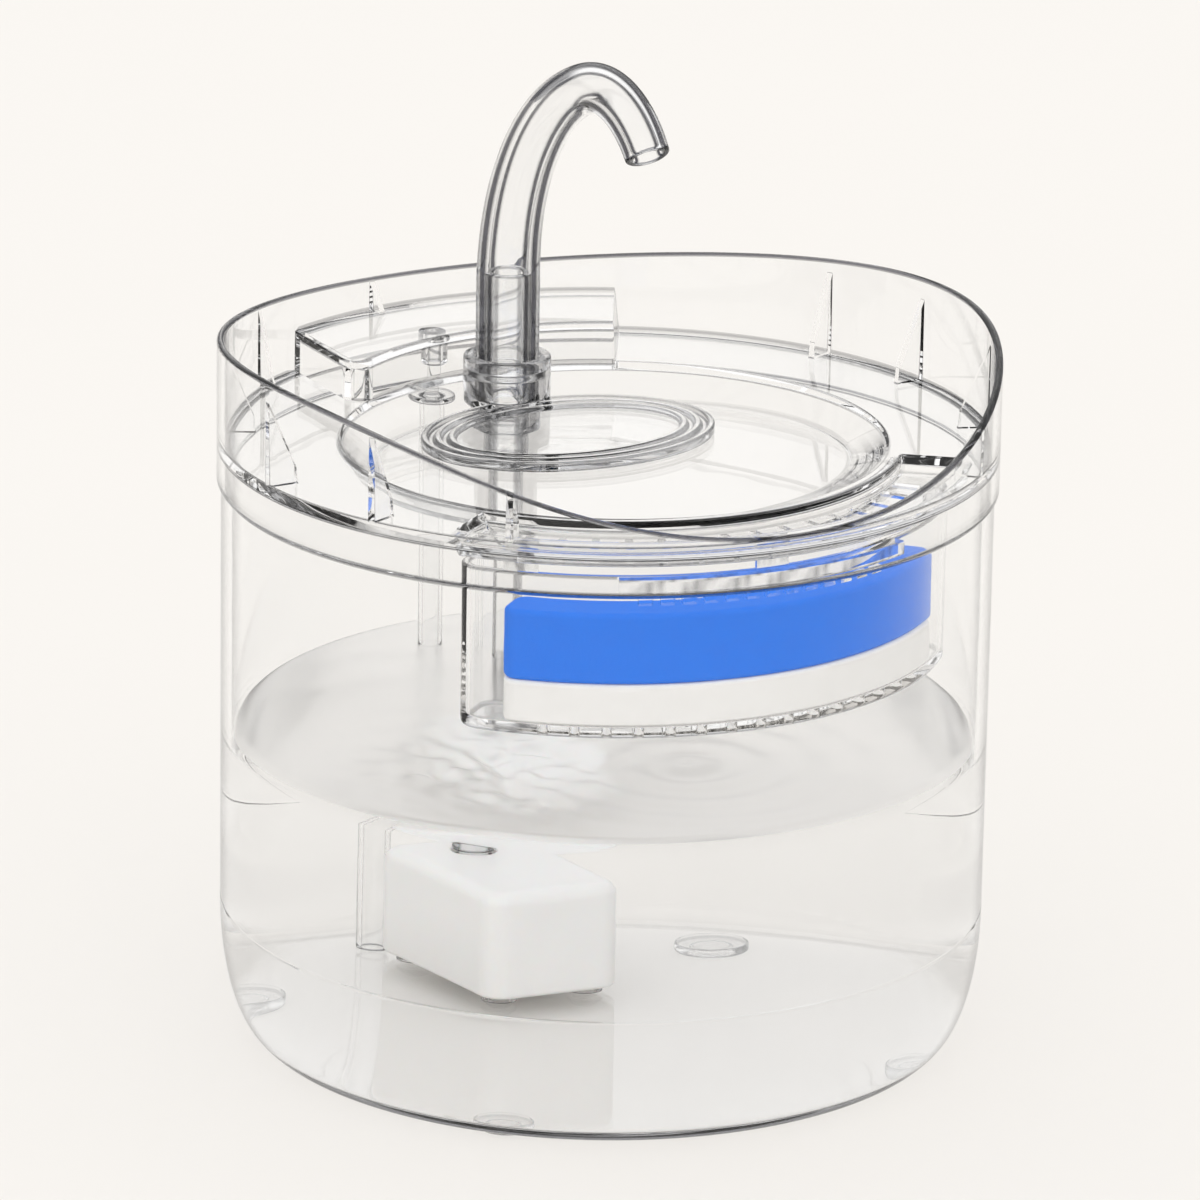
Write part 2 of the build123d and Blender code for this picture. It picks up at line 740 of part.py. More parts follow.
with BuildPart() as rotor_well:
    with BuildSketch(motor_plane(well_front_y)):
        Circle(well_bore_radius + well_wall)
    extrude(amount=-well_length)
    with BuildSketch(motor_plane(well_flange_y)):
        Circle(volute_radius)
    extrude(amount=-well_flange_thickness)
    with BuildSketch(motor_plane(front_bush_y)):
        Circle(well_bore_radius)
    extrude(amount=-(volute_front_y - front_bush_y), mode=Mode.SUBTRACT)
finish_piece(rotor_well, "rotor_well")

with BuildPart() as impeller_shaft:
    with BuildSketch(motor_plane(front_bush_y)):
        Circle(shaft_radius)
    extrude(amount=-(shaft_rear_y - front_bush_y))
finish_piece(impeller_shaft, "impeller_shaft")

# The front bush fills the bottom of the well; the rear one sits in the volute's hub.
with BuildPart() as shaft_bushes:
    for bush_y, outside in (
        (front_bush_y, well_bore_radius - press_gap),
        (volute_rear_y - bush_length, bush_radius),
    ):
        with BuildSketch(motor_plane(bush_y)):
            Circle(outside)
            Circle(shaft_radius + press_gap, mode=Mode.SUBTRACT)
        extrude(amount=-bush_length)
finish_piece(shaft_bushes, "shaft_bushes")

with BuildPart() as rotor_magnet:
    with BuildSketch(motor_plane(magnet_front_y)):
        Circle(magnet_radius)
        Circle(shaft_radius + running_gap, mode=Mode.SUBTRACT)
    extrude(amount=-magnet_length)
finish_piece(rotor_magnet, "rotor_magnet")

with BuildPart() as impeller:
    with BuildSketch(motor_plane(magnet_rear_y)):
        Circle(hub_radius)
    extrude(amount=-(volute_front_y - magnet_rear_y + impeller_disc + blade_length))
    with BuildSketch(motor_plane(volute_front_y + well_gap)):
        Circle(impeller_radius)
    extrude(amount=-impeller_disc)
    with BuildSketch(motor_plane(volute_front_y + well_gap)):
        with PolarLocations(impeller_radius / 2, blade_count):
            Rectangle(impeller_radius - blade_thickness / 4, blade_thickness)
    extrude(amount=-(impeller_disc + blade_length))
    with BuildSketch(motor_plane(magnet_rear_y)):
        Circle(shaft_radius + running_gap)
    extrude(amount=-2 * volute_length, mode=Mode.SUBTRACT)
finish_piece(impeller, "impeller")

# The stator core is a U lying flat, its legs on both sides of the well, its yoke in front.
core_gap_half = well_bore_radius + well_wall + soft_gap
core_rear_y = well_flange_y - soft_gap
coil_reach = yoke_depth / 2 + press_gap + bobbin_wall + coil_depth
yoke_middle_y = well_front_y - soft_gap - coil_reach
yoke_front_y = yoke_middle_y - yoke_depth / 2
core_foot = motor_axis - core_height / 2
with BuildPart() as stator_core:
    with BuildSketch(Plane.XY.offset(core_foot)):
        for side in (-1, 1):
            with Locations((side * (core_gap_half + core_leg_width / 2), core_rear_y)):
                Rectangle(core_leg_width, core_rear_y - yoke_front_y, align=(Align.CENTER, Align.MAX))
        with Locations((0, yoke_middle_y)):
            Rectangle(2 * core_gap_half + core_leg_width, yoke_depth)
    extrude(amount=core_height)
finish_piece(stator_core, "stator_core")

coil_length = 2 * (core_gap_half - soft_gap)
# A plane across the yoke: its x runs along Y, its y up.
yoke_plane = Plane(origin=(-coil_length / 2, yoke_middle_y, motor_axis), x_dir=(0, 1, 0), z_dir=(1, 0, 0))
bobbin_depth = yoke_depth + 2 * (bobbin_wall + press_gap)
bobbin_height = core_height + 2 * (bobbin_wall + press_gap)
with BuildPart() as coil_bobbin:
    with BuildSketch(yoke_plane):
        Rectangle(bobbin_depth, bobbin_height)
    extrude(amount=coil_length)
    for start in (0, coil_length - bobbin_flange):
        with BuildSketch(yoke_plane.offset(start)):
            Rectangle(bobbin_depth + 2 * coil_depth, bobbin_height + 2 * coil_depth)
        extrude(amount=bobbin_flange)
    with BuildSketch(yoke_plane):
        Rectangle(yoke_depth + 2 * press_gap, core_height + 2 * press_gap)
    extrude(amount=coil_length, mode=Mode.SUBTRACT)
finish_piece(coil_bobbin, "coil_bobbin")

with BuildPart() as coil_winding:
    with BuildSketch(yoke_plane.offset(bobbin_flange)):
        winding_depth = coil_depth - press_gap
        winding_width = bobbin_depth + 2 * winding_depth
        winding_height = bobbin_height + 2 * winding_depth
        RectangleRounded(winding_width, winding_height, winding_depth / 2)
        Rectangle(bobbin_depth, bobbin_height, mode=Mode.SUBTRACT)
    extrude(amount=coil_length - 2 * bobbin_flange)
finish_piece(coil_winding, "coil_winding")

# The lead's gland is in the casing's +X side.
with BuildPart() as cable_gland:
    gland_plane = Plane.YZ.offset(pump_width / 2 - pump_wall)
    with BuildSketch(gland_plane):
        with Locations((pump_front_y + gland_setback, pump_foot + gland_height)):
            Circle(gland_radius)
    extrude(amount=pump_wall + gland_length)
    with BuildSketch(Plane.YZ.offset(pump_width / 2)):
        with Locations((pump_front_y + gland_setback, pump_foot + gland_height)):
            Circle(gland_flange_radius)
    extrude(amount=gland_length / 3)
    with BuildSketch(gland_plane):
        with Locations((pump_front_y + gland_setback, pump_foot + gland_height)):
            Circle(gland_bore_radius)
    extrude(amount=pump_wall + gland_length, mode=Mode.SUBTRACT)
finish_piece(cable_gland, "cable_gland")
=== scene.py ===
import bpy
import bmesh
from math import asin, atan2, cos, exp, hypot, pi, radians, sin, sqrt, tan
from mathutils import Matrix, Vector, noise


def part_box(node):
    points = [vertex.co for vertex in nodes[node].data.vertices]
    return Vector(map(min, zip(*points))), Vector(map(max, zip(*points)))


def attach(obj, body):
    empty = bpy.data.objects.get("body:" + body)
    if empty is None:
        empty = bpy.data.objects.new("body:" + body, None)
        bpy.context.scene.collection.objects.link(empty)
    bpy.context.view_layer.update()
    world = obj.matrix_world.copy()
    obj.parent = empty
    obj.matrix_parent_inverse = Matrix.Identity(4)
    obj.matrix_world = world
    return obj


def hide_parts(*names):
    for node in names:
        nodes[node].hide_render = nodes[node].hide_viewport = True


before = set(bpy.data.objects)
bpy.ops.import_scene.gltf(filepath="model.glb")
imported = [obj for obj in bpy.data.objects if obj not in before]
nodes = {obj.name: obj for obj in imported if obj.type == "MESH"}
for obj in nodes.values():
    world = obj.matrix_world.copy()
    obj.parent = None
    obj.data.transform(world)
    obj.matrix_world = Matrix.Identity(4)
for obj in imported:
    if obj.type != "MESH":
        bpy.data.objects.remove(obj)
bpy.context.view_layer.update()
print("frame loaded:", len(nodes), "nodes")

mm = 0.001

# levels and radii that several pieces share, read from the frame
tankLow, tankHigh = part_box("tank")
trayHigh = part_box("tray")[1]
feetLow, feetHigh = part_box("tank_feet")
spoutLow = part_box("spout")[0]
spigotLow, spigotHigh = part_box("spigot")
riserLow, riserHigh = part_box("riser")
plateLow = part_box("spreader")[0]
postLow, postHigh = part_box("support_post")
boxLow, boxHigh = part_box("filter_box")
foamLow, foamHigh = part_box("filter_foam")
cottonLow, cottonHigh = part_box("filter_cotton")
casingLow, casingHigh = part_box("pump_casing")
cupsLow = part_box("pump_feet")[0]
sealLow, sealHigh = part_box("spout_seal")

tankRadius = tankHigh.x
trayRadius = trayHigh.x
tankRim = tankHigh.z
spoutX = (spigotLow.x + spigotHigh.x) / 2
spoutY = (spigotLow.y + spigotHigh.y) / 2
dishZ = plateLow.z


# mesh helpers
def linkMesh(name, mesh, sharpAngle=34):
    piece = bpy.data.objects.new(name, mesh)
    bpy.context.scene.collection.objects.link(piece)
    mesh.polygons.foreach_set("use_smooth", [True] * len(mesh.polygons))
    mesh.set_sharp_from_angle(angle=radians(sharpAngle))
    return piece


def meshFromFaces(name, verts, faces, sharpAngle=34, paintedLineShades=None):
    # one value for each vertex says how much painted shade a bent edge gets in clear plastic
    mesh = bpy.data.meshes.new(name)
    mesh.from_pydata(verts, [], faces)
    if paintedLineShades:
        mesh.attributes.new("paintedLineShade", "FLOAT", "POINT").data.foreach_set("value", paintedLineShades)
    shape = bmesh.new()
    shape.from_mesh(mesh)
    bmesh.ops.remove_doubles(shape, verts=shape.verts, dist=1e-7)
    bmesh.ops.dissolve_degenerate(shape, edges=shape.edges, dist=1e-8)
    bmesh.ops.recalc_face_normals(shape, faces=shape.faces)
    shape.to_mesh(mesh)
    shape.free()
    return linkMesh(name, mesh, sharpAngle)


def gridFaces(columns, rows, closedColumns=True, closedRows=False, start=0):
    # quads between neighbouring columns of points, each column rows long
    faces = []
    for j in range(columns if closedColumns else columns - 1):
        a, b = start + j * rows, start + ((j + 1) % columns) * rows
        for i in range(rows if closedRows else rows - 1):
            k = (i + 1) % rows
            faces.append((a + i, b + i, b + k, a + k))
    return faces


def roundedProfile(corners, steps=4, hold=0.1 * mm, closed=False, fixed=False):
    # each (r, z, radius) corner becomes an arc, with a holding point beyond either end of it; a fourth
    # value says how much painted shade it gets, without it tighter arcs get more painted shade, and the
    # points carry that as their third value
    count = len(corners)
    here = [Vector(c[:2]) for c in corners]
    length = [(here[(i + 1) % count] - here[i]).length for i in range(count)]
    cuts, halves = [0.0] * count, [pi / 2] * count
    for i in range(count):
        if closed or 0 < i < count - 1:
            before, after = here[i - 1] - here[i], here[(i + 1) % count] - here[i]
            if corners[i][2] > 0 and before.length > 1e-8 and after.length > 1e-8:
                halves[i] = before.angle(after) / 2
                if 0.02 < halves[i] < pi / 2 - 0.02:
                    cuts[i] = corners[i][2] / tan(halves[i])
    share = [1.0] * count
    for i in range(count):
        k = (i + 1) % count
        if cuts[i] + cuts[k] > 0.94 * length[i]:
            fit = 0.94 * length[i] / (cuts[i] + cuts[k])
            share[i], share[k] = min(share[i], fit), min(share[k], fit)
    cuts = [cut * fit for cut, fit in zip(cuts, share)]
    points = []
    for i in range(count):
        sharp = corners[i][2] <= 0 or not (closed or 0 < i < count - 1)
        if cuts[i] <= 0:
            points += [here[i].to_3d() for k in range(1 if sharp or not fixed else steps + 3)]
            continue
        before = (here[i - 1] - here[i]).normalized()
        after = (here[(i + 1) % count] - here[i]).normalized()
        middle = here[i] + (before + after).normalized() * (cuts[i] / cos(halves[i]))
        a, b = here[i] + before * cuts[i] - middle, here[i] + after * cuts[i] - middle
        sweep = atan2(a.x * b.y - a.y * b.x, a.dot(b))
        room = min(length[i - 1] - cuts[i] - cuts[i - 1], length[i] - cuts[i] - cuts[(i + 1) % count])
        reach = min(hold, 0.45 * max(room, 0.0))
        paintedShade = corners[i][3] if len(corners[i]) > 3 else min(0.85, 0.5 * mm / corners[i][2])
        points.append((here[i] + before * (cuts[i] + reach)).to_3d())
        for k in range(steps + 1):
            t = sweep * k / steps
            point = middle + Vector((a.x * cos(t) - a.y * sin(t), a.x * sin(t) + a.y * cos(t)))
            # painted shade along the arc, fading towards its ends
            shade = paintedShade * min(1, 1.6 * sin(pi * (k + 0.6) / (steps + 1.2)))
            points.append(Vector((point.x, point.y, shade)))
        points.append((here[i] + after * (cuts[i] + reach)).to_3d())
    return points


def lathe(name, profile, columns, centre=(0, 0), closed=False):
    # (r, z, painted shade) points turned about an upright axis
    verts = []
    for j in range(columns):
        t = 2 * pi * j / columns
        verts += [(centre[0] + p.x * cos(t), centre[1] + p.x * sin(t), p.y) for p in profile]
    faces = gridFaces(columns, len(profile), True, closed)
    return meshFromFaces(name, verts, faces, paintedLineShades=[p.z for p in profile] * columns)


def turned(name, corners, centre=(0, 0), columns=96, steps=4, closed=False):
    # an open profile runs from the axis back to it, a closed one makes a ring
    return lathe(name, roundedProfile(corners, steps, closed=closed), columns, centre, closed)


def smoothStep(t):
    t = max(0.0, min(1.0, t))
    return t * t * (3 - 2 * t)


def mix(a, b, t):
    return a + (b - a) * t


def degreesOf(angle):
    return angle * 180 / pi


def spaced(values, gap):
    # sorted, without those that lie closer than the gap to the one before
    kept = []
    for value in sorted(values):
        if not kept or value - kept[-1] > gap:
            kept.append(value)
    return kept


def rowOf(count, pitch):
    # evenly pitched places, centred on zero
    return [(i - (count - 1) / 2) * pitch for i in range(count)]


# node helpers for materials
def newMaterial(name):
    material = bpy.data.materials.new(name)
    material.use_nodes = True
    tree = material.node_tree
    tree.nodes.clear()
    return material, tree


def addNode(tree, kind, **values):
    node = tree.nodes.new(kind)
    for key, value in values.items():
        if hasattr(node, key) and key not in node.inputs:
            setattr(node, key, value)
        else:
            node.inputs[key.replace("_", " ")].default_value = value
    return node


def link(tree, source, target):
    tree.links.new(source, target)


def mathNode(tree, operation, a, b=None, clamp=False):
    node = tree.nodes.new("ShaderNodeMath")
    node.operation = operation
    node.use_clamp = clamp
    for socket, value in zip(node.inputs, (a, b)):
        if value is None:
            continue
        if isinstance(value, (int, float)):
            socket.default_value = value
        else:
            link(tree, value, socket)
    return node.outputs[0]


def newGroup(name, inputs, outputs):
    group = bpy.data.node_groups.new(name, "ShaderNodeTree")
    for label, kind, value in inputs:
        socket = group.interface.new_socket(name=label, in_out="INPUT", socket_type=kind)
        if value is not None:
            socket.default_value = value
    for label, kind in outputs:
        group.interface.new_socket(name=label, in_out="OUTPUT", socket_type=kind)
    return group, group.nodes.new("NodeGroupInput"), group.nodes.new("NodeGroupOutput")


def placeGroup(tree, group, **values):
    node = tree.nodes.new("ShaderNodeGroup")
    node.node_tree = group
    for key, value in values.items():
        node.inputs[key].default_value = value
    return node


# a finish: slow clouds in the colour, uneven gloss and a fine relief
def makeFinishGroup(name, cloudNoise, reliefNoise, distance, glossFollowsClouds):
    group, given, result = newGroup(
        name,
        [("Colour", "NodeSocketColor", (1, 1, 1, 1)), ("Cloud", "NodeSocketColor", (0.9, 0.9, 0.9, 1))]
        + [(label, "NodeSocketFloat", 1.0)
           for label in ("Cloud Size", "Roughness", "Roughness Spread", "Relief", "Relief Size")],
        [("Colour", "NodeSocketColor"), ("Roughness", "NodeSocketFloat"), ("Normal", "NodeSocketVector")],
    )
    place = addNode(group, "ShaderNodeTexCoord").outputs["Object"]
    clouds = addNode(group, "ShaderNodeTexNoise", **cloudNoise)
    relief = addNode(group, "ShaderNodeTexNoise", **reliefNoise)
    for pattern, size in ((clouds, "Cloud Size"), (relief, "Relief Size")):
        link(group, place, pattern.inputs["Vector"])
        link(group, given.outputs[size], pattern.inputs["Scale"])
    blend = addNode(group, "ShaderNodeMix", data_type="RGBA")
    link(group, clouds.outputs["Fac"], blend.inputs["Factor"])
    link(group, given.outputs["Cloud"], blend.inputs["A"])
    link(group, given.outputs["Colour"], blend.inputs["B"])
    uneven = (clouds if glossFollowsClouds else relief).outputs["Fac"]
    gloss = mathNode(group, "MULTIPLY", uneven, given.outputs["Roughness Spread"])
    gloss = mathNode(group, "ADD", gloss, given.outputs["Roughness"])
    bump = addNode(group, "ShaderNodeBump", Distance=distance)
    link(group, given.outputs["Relief"], bump.inputs["Strength"])
    link(group, relief.outputs["Fac"], bump.inputs["Height"])
    link(group, blend.outputs["Result"], result.inputs["Colour"])
    link(group, gloss, result.inputs["Roughness"])
    link(group, bump.outputs["Normal"], result.inputs["Normal"])
    return group


# moulded plastic has a barely wavy face, grain has fine pits that also vary its gloss
mouldedFinish = makeFinishGroup(
    "mouldedFinish", {"Detail": 3.0, "Roughness": 0.6}, {"Detail": 1.0}, 0.0002, True)
grainFinish = makeFinishGroup(
    "grainFinish", {"Detail": 4.0, "Roughness": 0.55}, {"Detail": 2.0, "Roughness": 0.5}, 0.0001, False)


def ramp(tree, value, start, end, low, high):
    node = addNode(tree, "ShaderNodeMapRange", clamp=True)
    node.interpolation_type = "SMOOTHSTEP"
    link(tree, value, node.inputs["Value"])
    for label, number in (("From Min", start), ("From Max", end), ("To Min", low), ("To Max", high)):
        node.inputs[label].default_value = number
    return node.outputs["Result"]


# clear plastic: refracts and lets light through to what is inside; painted shade darkens it where it is
# seen edge-on and along its bent edges, and as that painted shade depends on the side it is seen from, it
# moves as the camera does
def clearPlastic(name, look):
    material, tree = newMaterial(name)
    finish = placeGroup(tree, mouldedFinish, **{
        "Colour": look["colour"],
        "Cloud": look["cloud"],
        "Cloud Size": look["cloudSize"],
        "Roughness": look["roughness"],
        "Roughness Spread": look["roughnessSpread"],
        "Relief": look["wave"],
        "Relief Size": look["waveSize"],
    })
    facing = addNode(tree, "ShaderNodeLayerWeight", Blend=0.5).outputs["Facing"]
    if look["tube"]:
        # measured across the tube: this works out how far the view runs along the axis, so that the painted
        # shade bands sit across the tube
        axis = addNode(tree, "ShaderNodeAttribute")
        axis.attribute_name = "axis"
        turn = addNode(tree, "ShaderNodeVectorTransform", vector_type="VECTOR", convert_from="OBJECT",
                       convert_to="WORLD")
        link(tree, axis.outputs["Vector"], turn.inputs["Vector"])
        along = addNode(tree, "ShaderNodeLayerWeight", Blend=0.5)
        link(tree, turn.outputs["Vector"], along.inputs["Normal"])
        along = mathNode(tree, "SUBTRACT", 1.0, along.outputs["Facing"])
        across = mathNode(tree, "SUBTRACT", 1.0, mathNode(tree, "MULTIPLY", along, along))
        across = mathNode(tree, "MAXIMUM", mathNode(tree, "SQRT", across), look["leastAcross"])
        cosine = mathNode(tree, "DIVIDE", mathNode(tree, "SUBTRACT", 1.0, facing), across)
        facing = mathNode(tree, "SUBTRACT", 1.0, cosine, clamp=True)
    # painted shade: dark bands where the surface is seen edge-on, near the outline and inside it
    edge = ramp(tree, facing, look["edgeStart"], look["edgeFull"], 0.0, 1.0)
    inside = ramp(tree, facing, look["rimStart"], look["rimFull"], 1.0, look["rim"])
    outline = ramp(tree, facing, look["outline"], look["outlineFull"], 0.0, look["outlinePaintedShade"])
    paintedShadeBand = mathNode(tree, "MAXIMUM", mathNode(tree, "MULTIPLY", edge, inside), outline)
    # painted shade on bent edges, carried by the mesh's vertices
    bend = addNode(tree, "ShaderNodeAttribute")
    bend.attribute_name = "paintedLineShade"
    paintedShadeBand = mathNode(tree, "MAXIMUM", paintedShadeBand, mathNode(tree, "MULTIPLY", bend.outputs["Fac"], look["paintedLineShade"]))
    # a painted line below zero gives painted shade only where it is seen at a slant
    slant = ramp(tree, facing, look["slantStart"], look["slantFull"], 0.0, -1.0)
    paintedShadeBand = mathNode(tree, "MAXIMUM", paintedShadeBand, mathNode(tree, "MULTIPLY", bend.outputs["Fac"], slant))
    # the painted shade multiplies the plastic's colour by the look's dark colour
    shadePainter = addNode(tree, "ShaderNodeMix", data_type="RGBA", blend_type="MULTIPLY")
    link(tree, paintedShadeBand, shadePainter.inputs["Factor"])
    link(tree, finish.outputs["Colour"], shadePainter.inputs["A"])
    shadePainter.inputs["B"].default_value = look["paintedEdgeShadeColour"]
    shell = addNode(tree, "ShaderNodeBsdfPrincipled")
    shell.inputs["Transmission Weight"].default_value = 1.0
    shell.inputs["IOR"].default_value = look["ior"]
    shell.inputs["Specular IOR Level"].default_value = 0.5
    link(tree, shadePainter.outputs["Result"], shell.inputs["Base Color"])
    link(tree, finish.outputs["Roughness"], shell.inputs["Roughness"])
    link(tree, finish.outputs["Normal"], shell.inputs["Normal"])
    through = addNode(tree, "ShaderNodeBsdfTransparent")
    through.inputs["Color"].default_value = look["shade"]
    rays = addNode(tree, "ShaderNodeLightPath")
    soft = mathNode(tree, "MAXIMUM", rays.outputs["Is Shadow Ray"], rays.outputs["Is Diffuse Ray"])
    both = addNode(tree, "ShaderNodeMixShader")
    link(tree, soft, both.inputs["Fac"])
    link(tree, shell.outputs["BSDF"], both.inputs[1])
    link(tree, through.outputs["BSDF"], both.inputs[2])
    output = addNode(tree, "ShaderNodeOutputMaterial")
    link(tree, both.outputs["Shader"], output.inputs["Surface"])
    return material


def opaqueFinish(name, look):
    material, tree = newMaterial(name)
    finish = placeGroup(tree, grainFinish, **{
        "Colour": look["colour"],
        "Cloud": look["mottle"],
        "Cloud Size": look["mottleSize"],
        "Relief": look["grainDepth"],
        "Relief Size": look["grainSize"],
        "Roughness": look["roughness"],
        "Roughness Spread": look["roughnessSpread"],
    })
    body = addNode(tree, "ShaderNodeBsdfPrincipled")
    body.inputs["Metallic"].default_value = look.get("metallic", 0.0)
    body.inputs["Subsurface Weight"].default_value = look.get("subsurface", 0.0)
    body.inputs["Subsurface Scale"].default_value = 0.002
    link(tree, finish.outputs["Colour"], body.inputs["Base Color"])
    link(tree, finish.outputs["Roughness"], body.inputs["Roughness"])
    link(tree, finish.outputs["Normal"], body.inputs["Normal"])
    output = addNode(tree, "ShaderNodeOutputMaterial")
    link(tree, body.outputs["BSDF"], output.inputs["Surface"])
    return material


clearLook = {
    "colour": (0.985, 0.985, 0.985, 1),
    "cloud": (0.965, 0.967, 0.967, 1),
    "cloudSize": 35.0,
    "roughness": 0.0,
    "roughnessSpread": 0.02,
    "wave": 0.12,
    "waveSize": 55.0,
    "edgeStart": 0.80,
    "edgeFull": 0.99,
    "paintedEdgeShadeColour": (0.25, 0.25, 0.26, 1),
    "rim": 1.0,    # how much of the painted shade band is left between rimFull and the outline
    "rimStart": 0.5,
    "rimFull": 0.62,
    "outline": 0.9,
    "outlineFull": 0.97,
    "outlinePaintedShade": 0.0,
    "slantStart": 0.28,
    "slantFull": 0.44,
    "tube": False,
    "leastAcross": 0.15,
    "paintedLineShade": 1.0,    # how much painted shade the bent edges get
    "shade": (0.965, 0.965, 0.965, 1),
    "ior": 1.3,
}
# each clear piece below sets how dark its painted shade is, on edges seen edge-on and on bent edges
tankPlastic = clearPlastic("clearTankPlastic", {
    **clearLook, "ior": 1.25, "edgeStart": 0.77, "edgeFull": 0.95, "paintedEdgeShadeColour": (0.08, 0.08, 0.09, 1),
    "shade": (0.975, 0.975, 0.975, 1)})
trayPlastic = clearPlastic("clearTrayPlastic", {**clearLook, "paintedEdgeShadeColour": (0.04, 0.04, 0.05, 1)})
# tubes get broad painted shade bands inside their outlines
tubeLook = {
    **clearLook, "edgeStart": 0.18, "edgeFull": 0.34, "rim": 0.08, "outline": 0.84, "outlinePaintedShade": 0.8,
    "paintedEdgeShadeColour": (0.012, 0.012, 0.016, 1)}
tubePlastic = clearPlastic("clearTubePlastic", {**tubeLook, "paintedEdgeShadeColour": (0.30, 0.30, 0.31, 1)})
spoutPlastic = clearPlastic("clearSpoutPlastic", {**tubeLook, "tube": True})
postPlastic = clearPlastic("clearPostPlastic", {
    **clearLook, "edgeStart": 0.5, "edgeFull": 0.9, "paintedEdgeShadeColour": (0.2, 0.2, 0.21, 1)})
platePlastic = clearPlastic("clearPlatePlastic", {
    **clearLook, "edgeStart": 0.85, "wave": 0.3, "waveSize": 90.0, "paintedEdgeShadeColour": (0.3, 0.3, 0.31, 1)})
boxPlastic = clearPlastic("clearBoxPlastic", {**clearLook, "ior": 1.2, "paintedEdgeShadeColour": (0.10, 0.10, 0.11, 1)})
bumperPlastic = clearPlastic("clearBumper", {
    **clearLook, "roughness": 0.05, "ior": 1.1, "edgeStart": 0.9, "shade": (0.93, 0.93, 0.93, 1)})
siliconeRubber = clearPlastic("clearSilicone", {**clearLook, "roughness": 0.12, "ior": 1.41})
# the water gets a light painted shade at its edges
waterLook = {
    **clearLook, "ior": 1.15, "wave": 0.0, "edgeStart": 0.85, "paintedEdgeShadeColour": (0.6, 0.6, 0.61, 1),
    "shade": (0.98, 0.98, 0.98, 1)}
waterSurface = clearPlastic("waterSurface", waterLook)
waterFoot = clearPlastic("waterFoot", {**waterLook, "ior": 1.01, "paintedEdgeShadeColour": (0.9, 0.9, 0.9, 1)})
waterTopFilm = clearPlastic("waterTopFilm", {
    **waterLook, "ior": 1.26, "roughness": 0.28, "shade": (0.95, 0.95, 0.955, 1)})

opaqueLook = {
    "colour": (0.86, 0.855, 0.84, 1),
    "mottle": (0.80, 0.795, 0.78, 1),
    "mottleSize": 45.0,
    "grainSize": 1400.0,
    "grainDepth": 0.12,
    "roughness": 0.38,
    "roughnessSpread": 0.10,
}
whitePlastic = opaqueFinish("whitePlastic", {**opaqueLook, "subsurface": 0.12})
greyFoam = opaqueFinish("greyFoam", {
    **opaqueLook, "colour": (0.10, 0.105, 0.11, 1), "mottle": (0.04, 0.042, 0.045, 1), "grainSize": 650.0,
    "grainDepth": 0.9, "roughness": 0.85})
blueFoam = opaqueFinish("blueFoam", {
    **opaqueLook, "colour": (0.0, 0.19, 0.87, 1), "mottle": (0.0, 0.16, 0.80, 1), "mottleSize": 260.0,
    "grainSize": 1100.0, "grainDepth": 0.35, "roughness": 0.8})
whiteFibre = opaqueFinish("whiteFibre", {
    **opaqueLook, "colour": (0.90, 0.89, 0.87, 1), "mottle": (0.82, 0.81, 0.79, 1), "mottleSize": 420.0,
    "grainSize": 900.0, "grainDepth": 0.4, "roughness": 0.9})
darkRubber = opaqueFinish("darkRubber", {
    **opaqueLook, "colour": (0.028, 0.028, 0.03, 1), "mottle": (0.018, 0.018, 0.02, 1), "roughness": 0.55})
paleRubber = opaqueFinish("paleRubber", {
    **opaqueLook, "colour": (0.70, 0.69, 0.68, 1), "mottle": (0.66, 0.65, 0.64, 1), "roughness": 0.5})
shaftCeramic = opaqueFinish("shaftCeramic", {
    **opaqueLook, "colour": (0.84, 0.81, 0.74, 1), "mottle": (0.80, 0.76, 0.69, 1), "roughness": 0.18})
ferrite = opaqueFinish("ferrite", {
    **opaqueLook, "colour": (0.07, 0.07, 0.075, 1), "mottle": (0.045, 0.045, 0.05, 1), "roughness": 0.5})
coreSteel = opaqueFinish("coreSteel", {
    **opaqueLook, "colour": (0.42, 0.42, 0.44, 1), "mottle": (0.34, 0.34, 0.36, 1), "metallic": 1.0,
    "roughness": 0.35})
copperWire = opaqueFinish("copperWire", {
    **opaqueLook, "colour": (0.62, 0.26, 0.11, 1), "mottle": (0.5, 0.19, 0.07, 1), "metallic": 1.0,
    "roughness": 0.28})
print("materials made")


# tank
tankShape = {
    "wall": 2.6 * mm,
    "floorRadius": tankRadius - 9.5 * mm,
    "cornerHeight": 30.0 * mm,
    "neckStep": 1.0 * mm,
    "neckWall": 1.6 * mm,
    "shoulder": 8.3 * mm,
    "cornerSteps": 36,
    "footPaintedShadeSpan": (0.05, 0.13, 0.36, 0.56),    # radians up the corner's curve where the bottom corner gets painted shade
    "grooveDepth": 0.16 * mm,
    "grooveHalf": 0.45 * mm,
    "columns": 240,
}


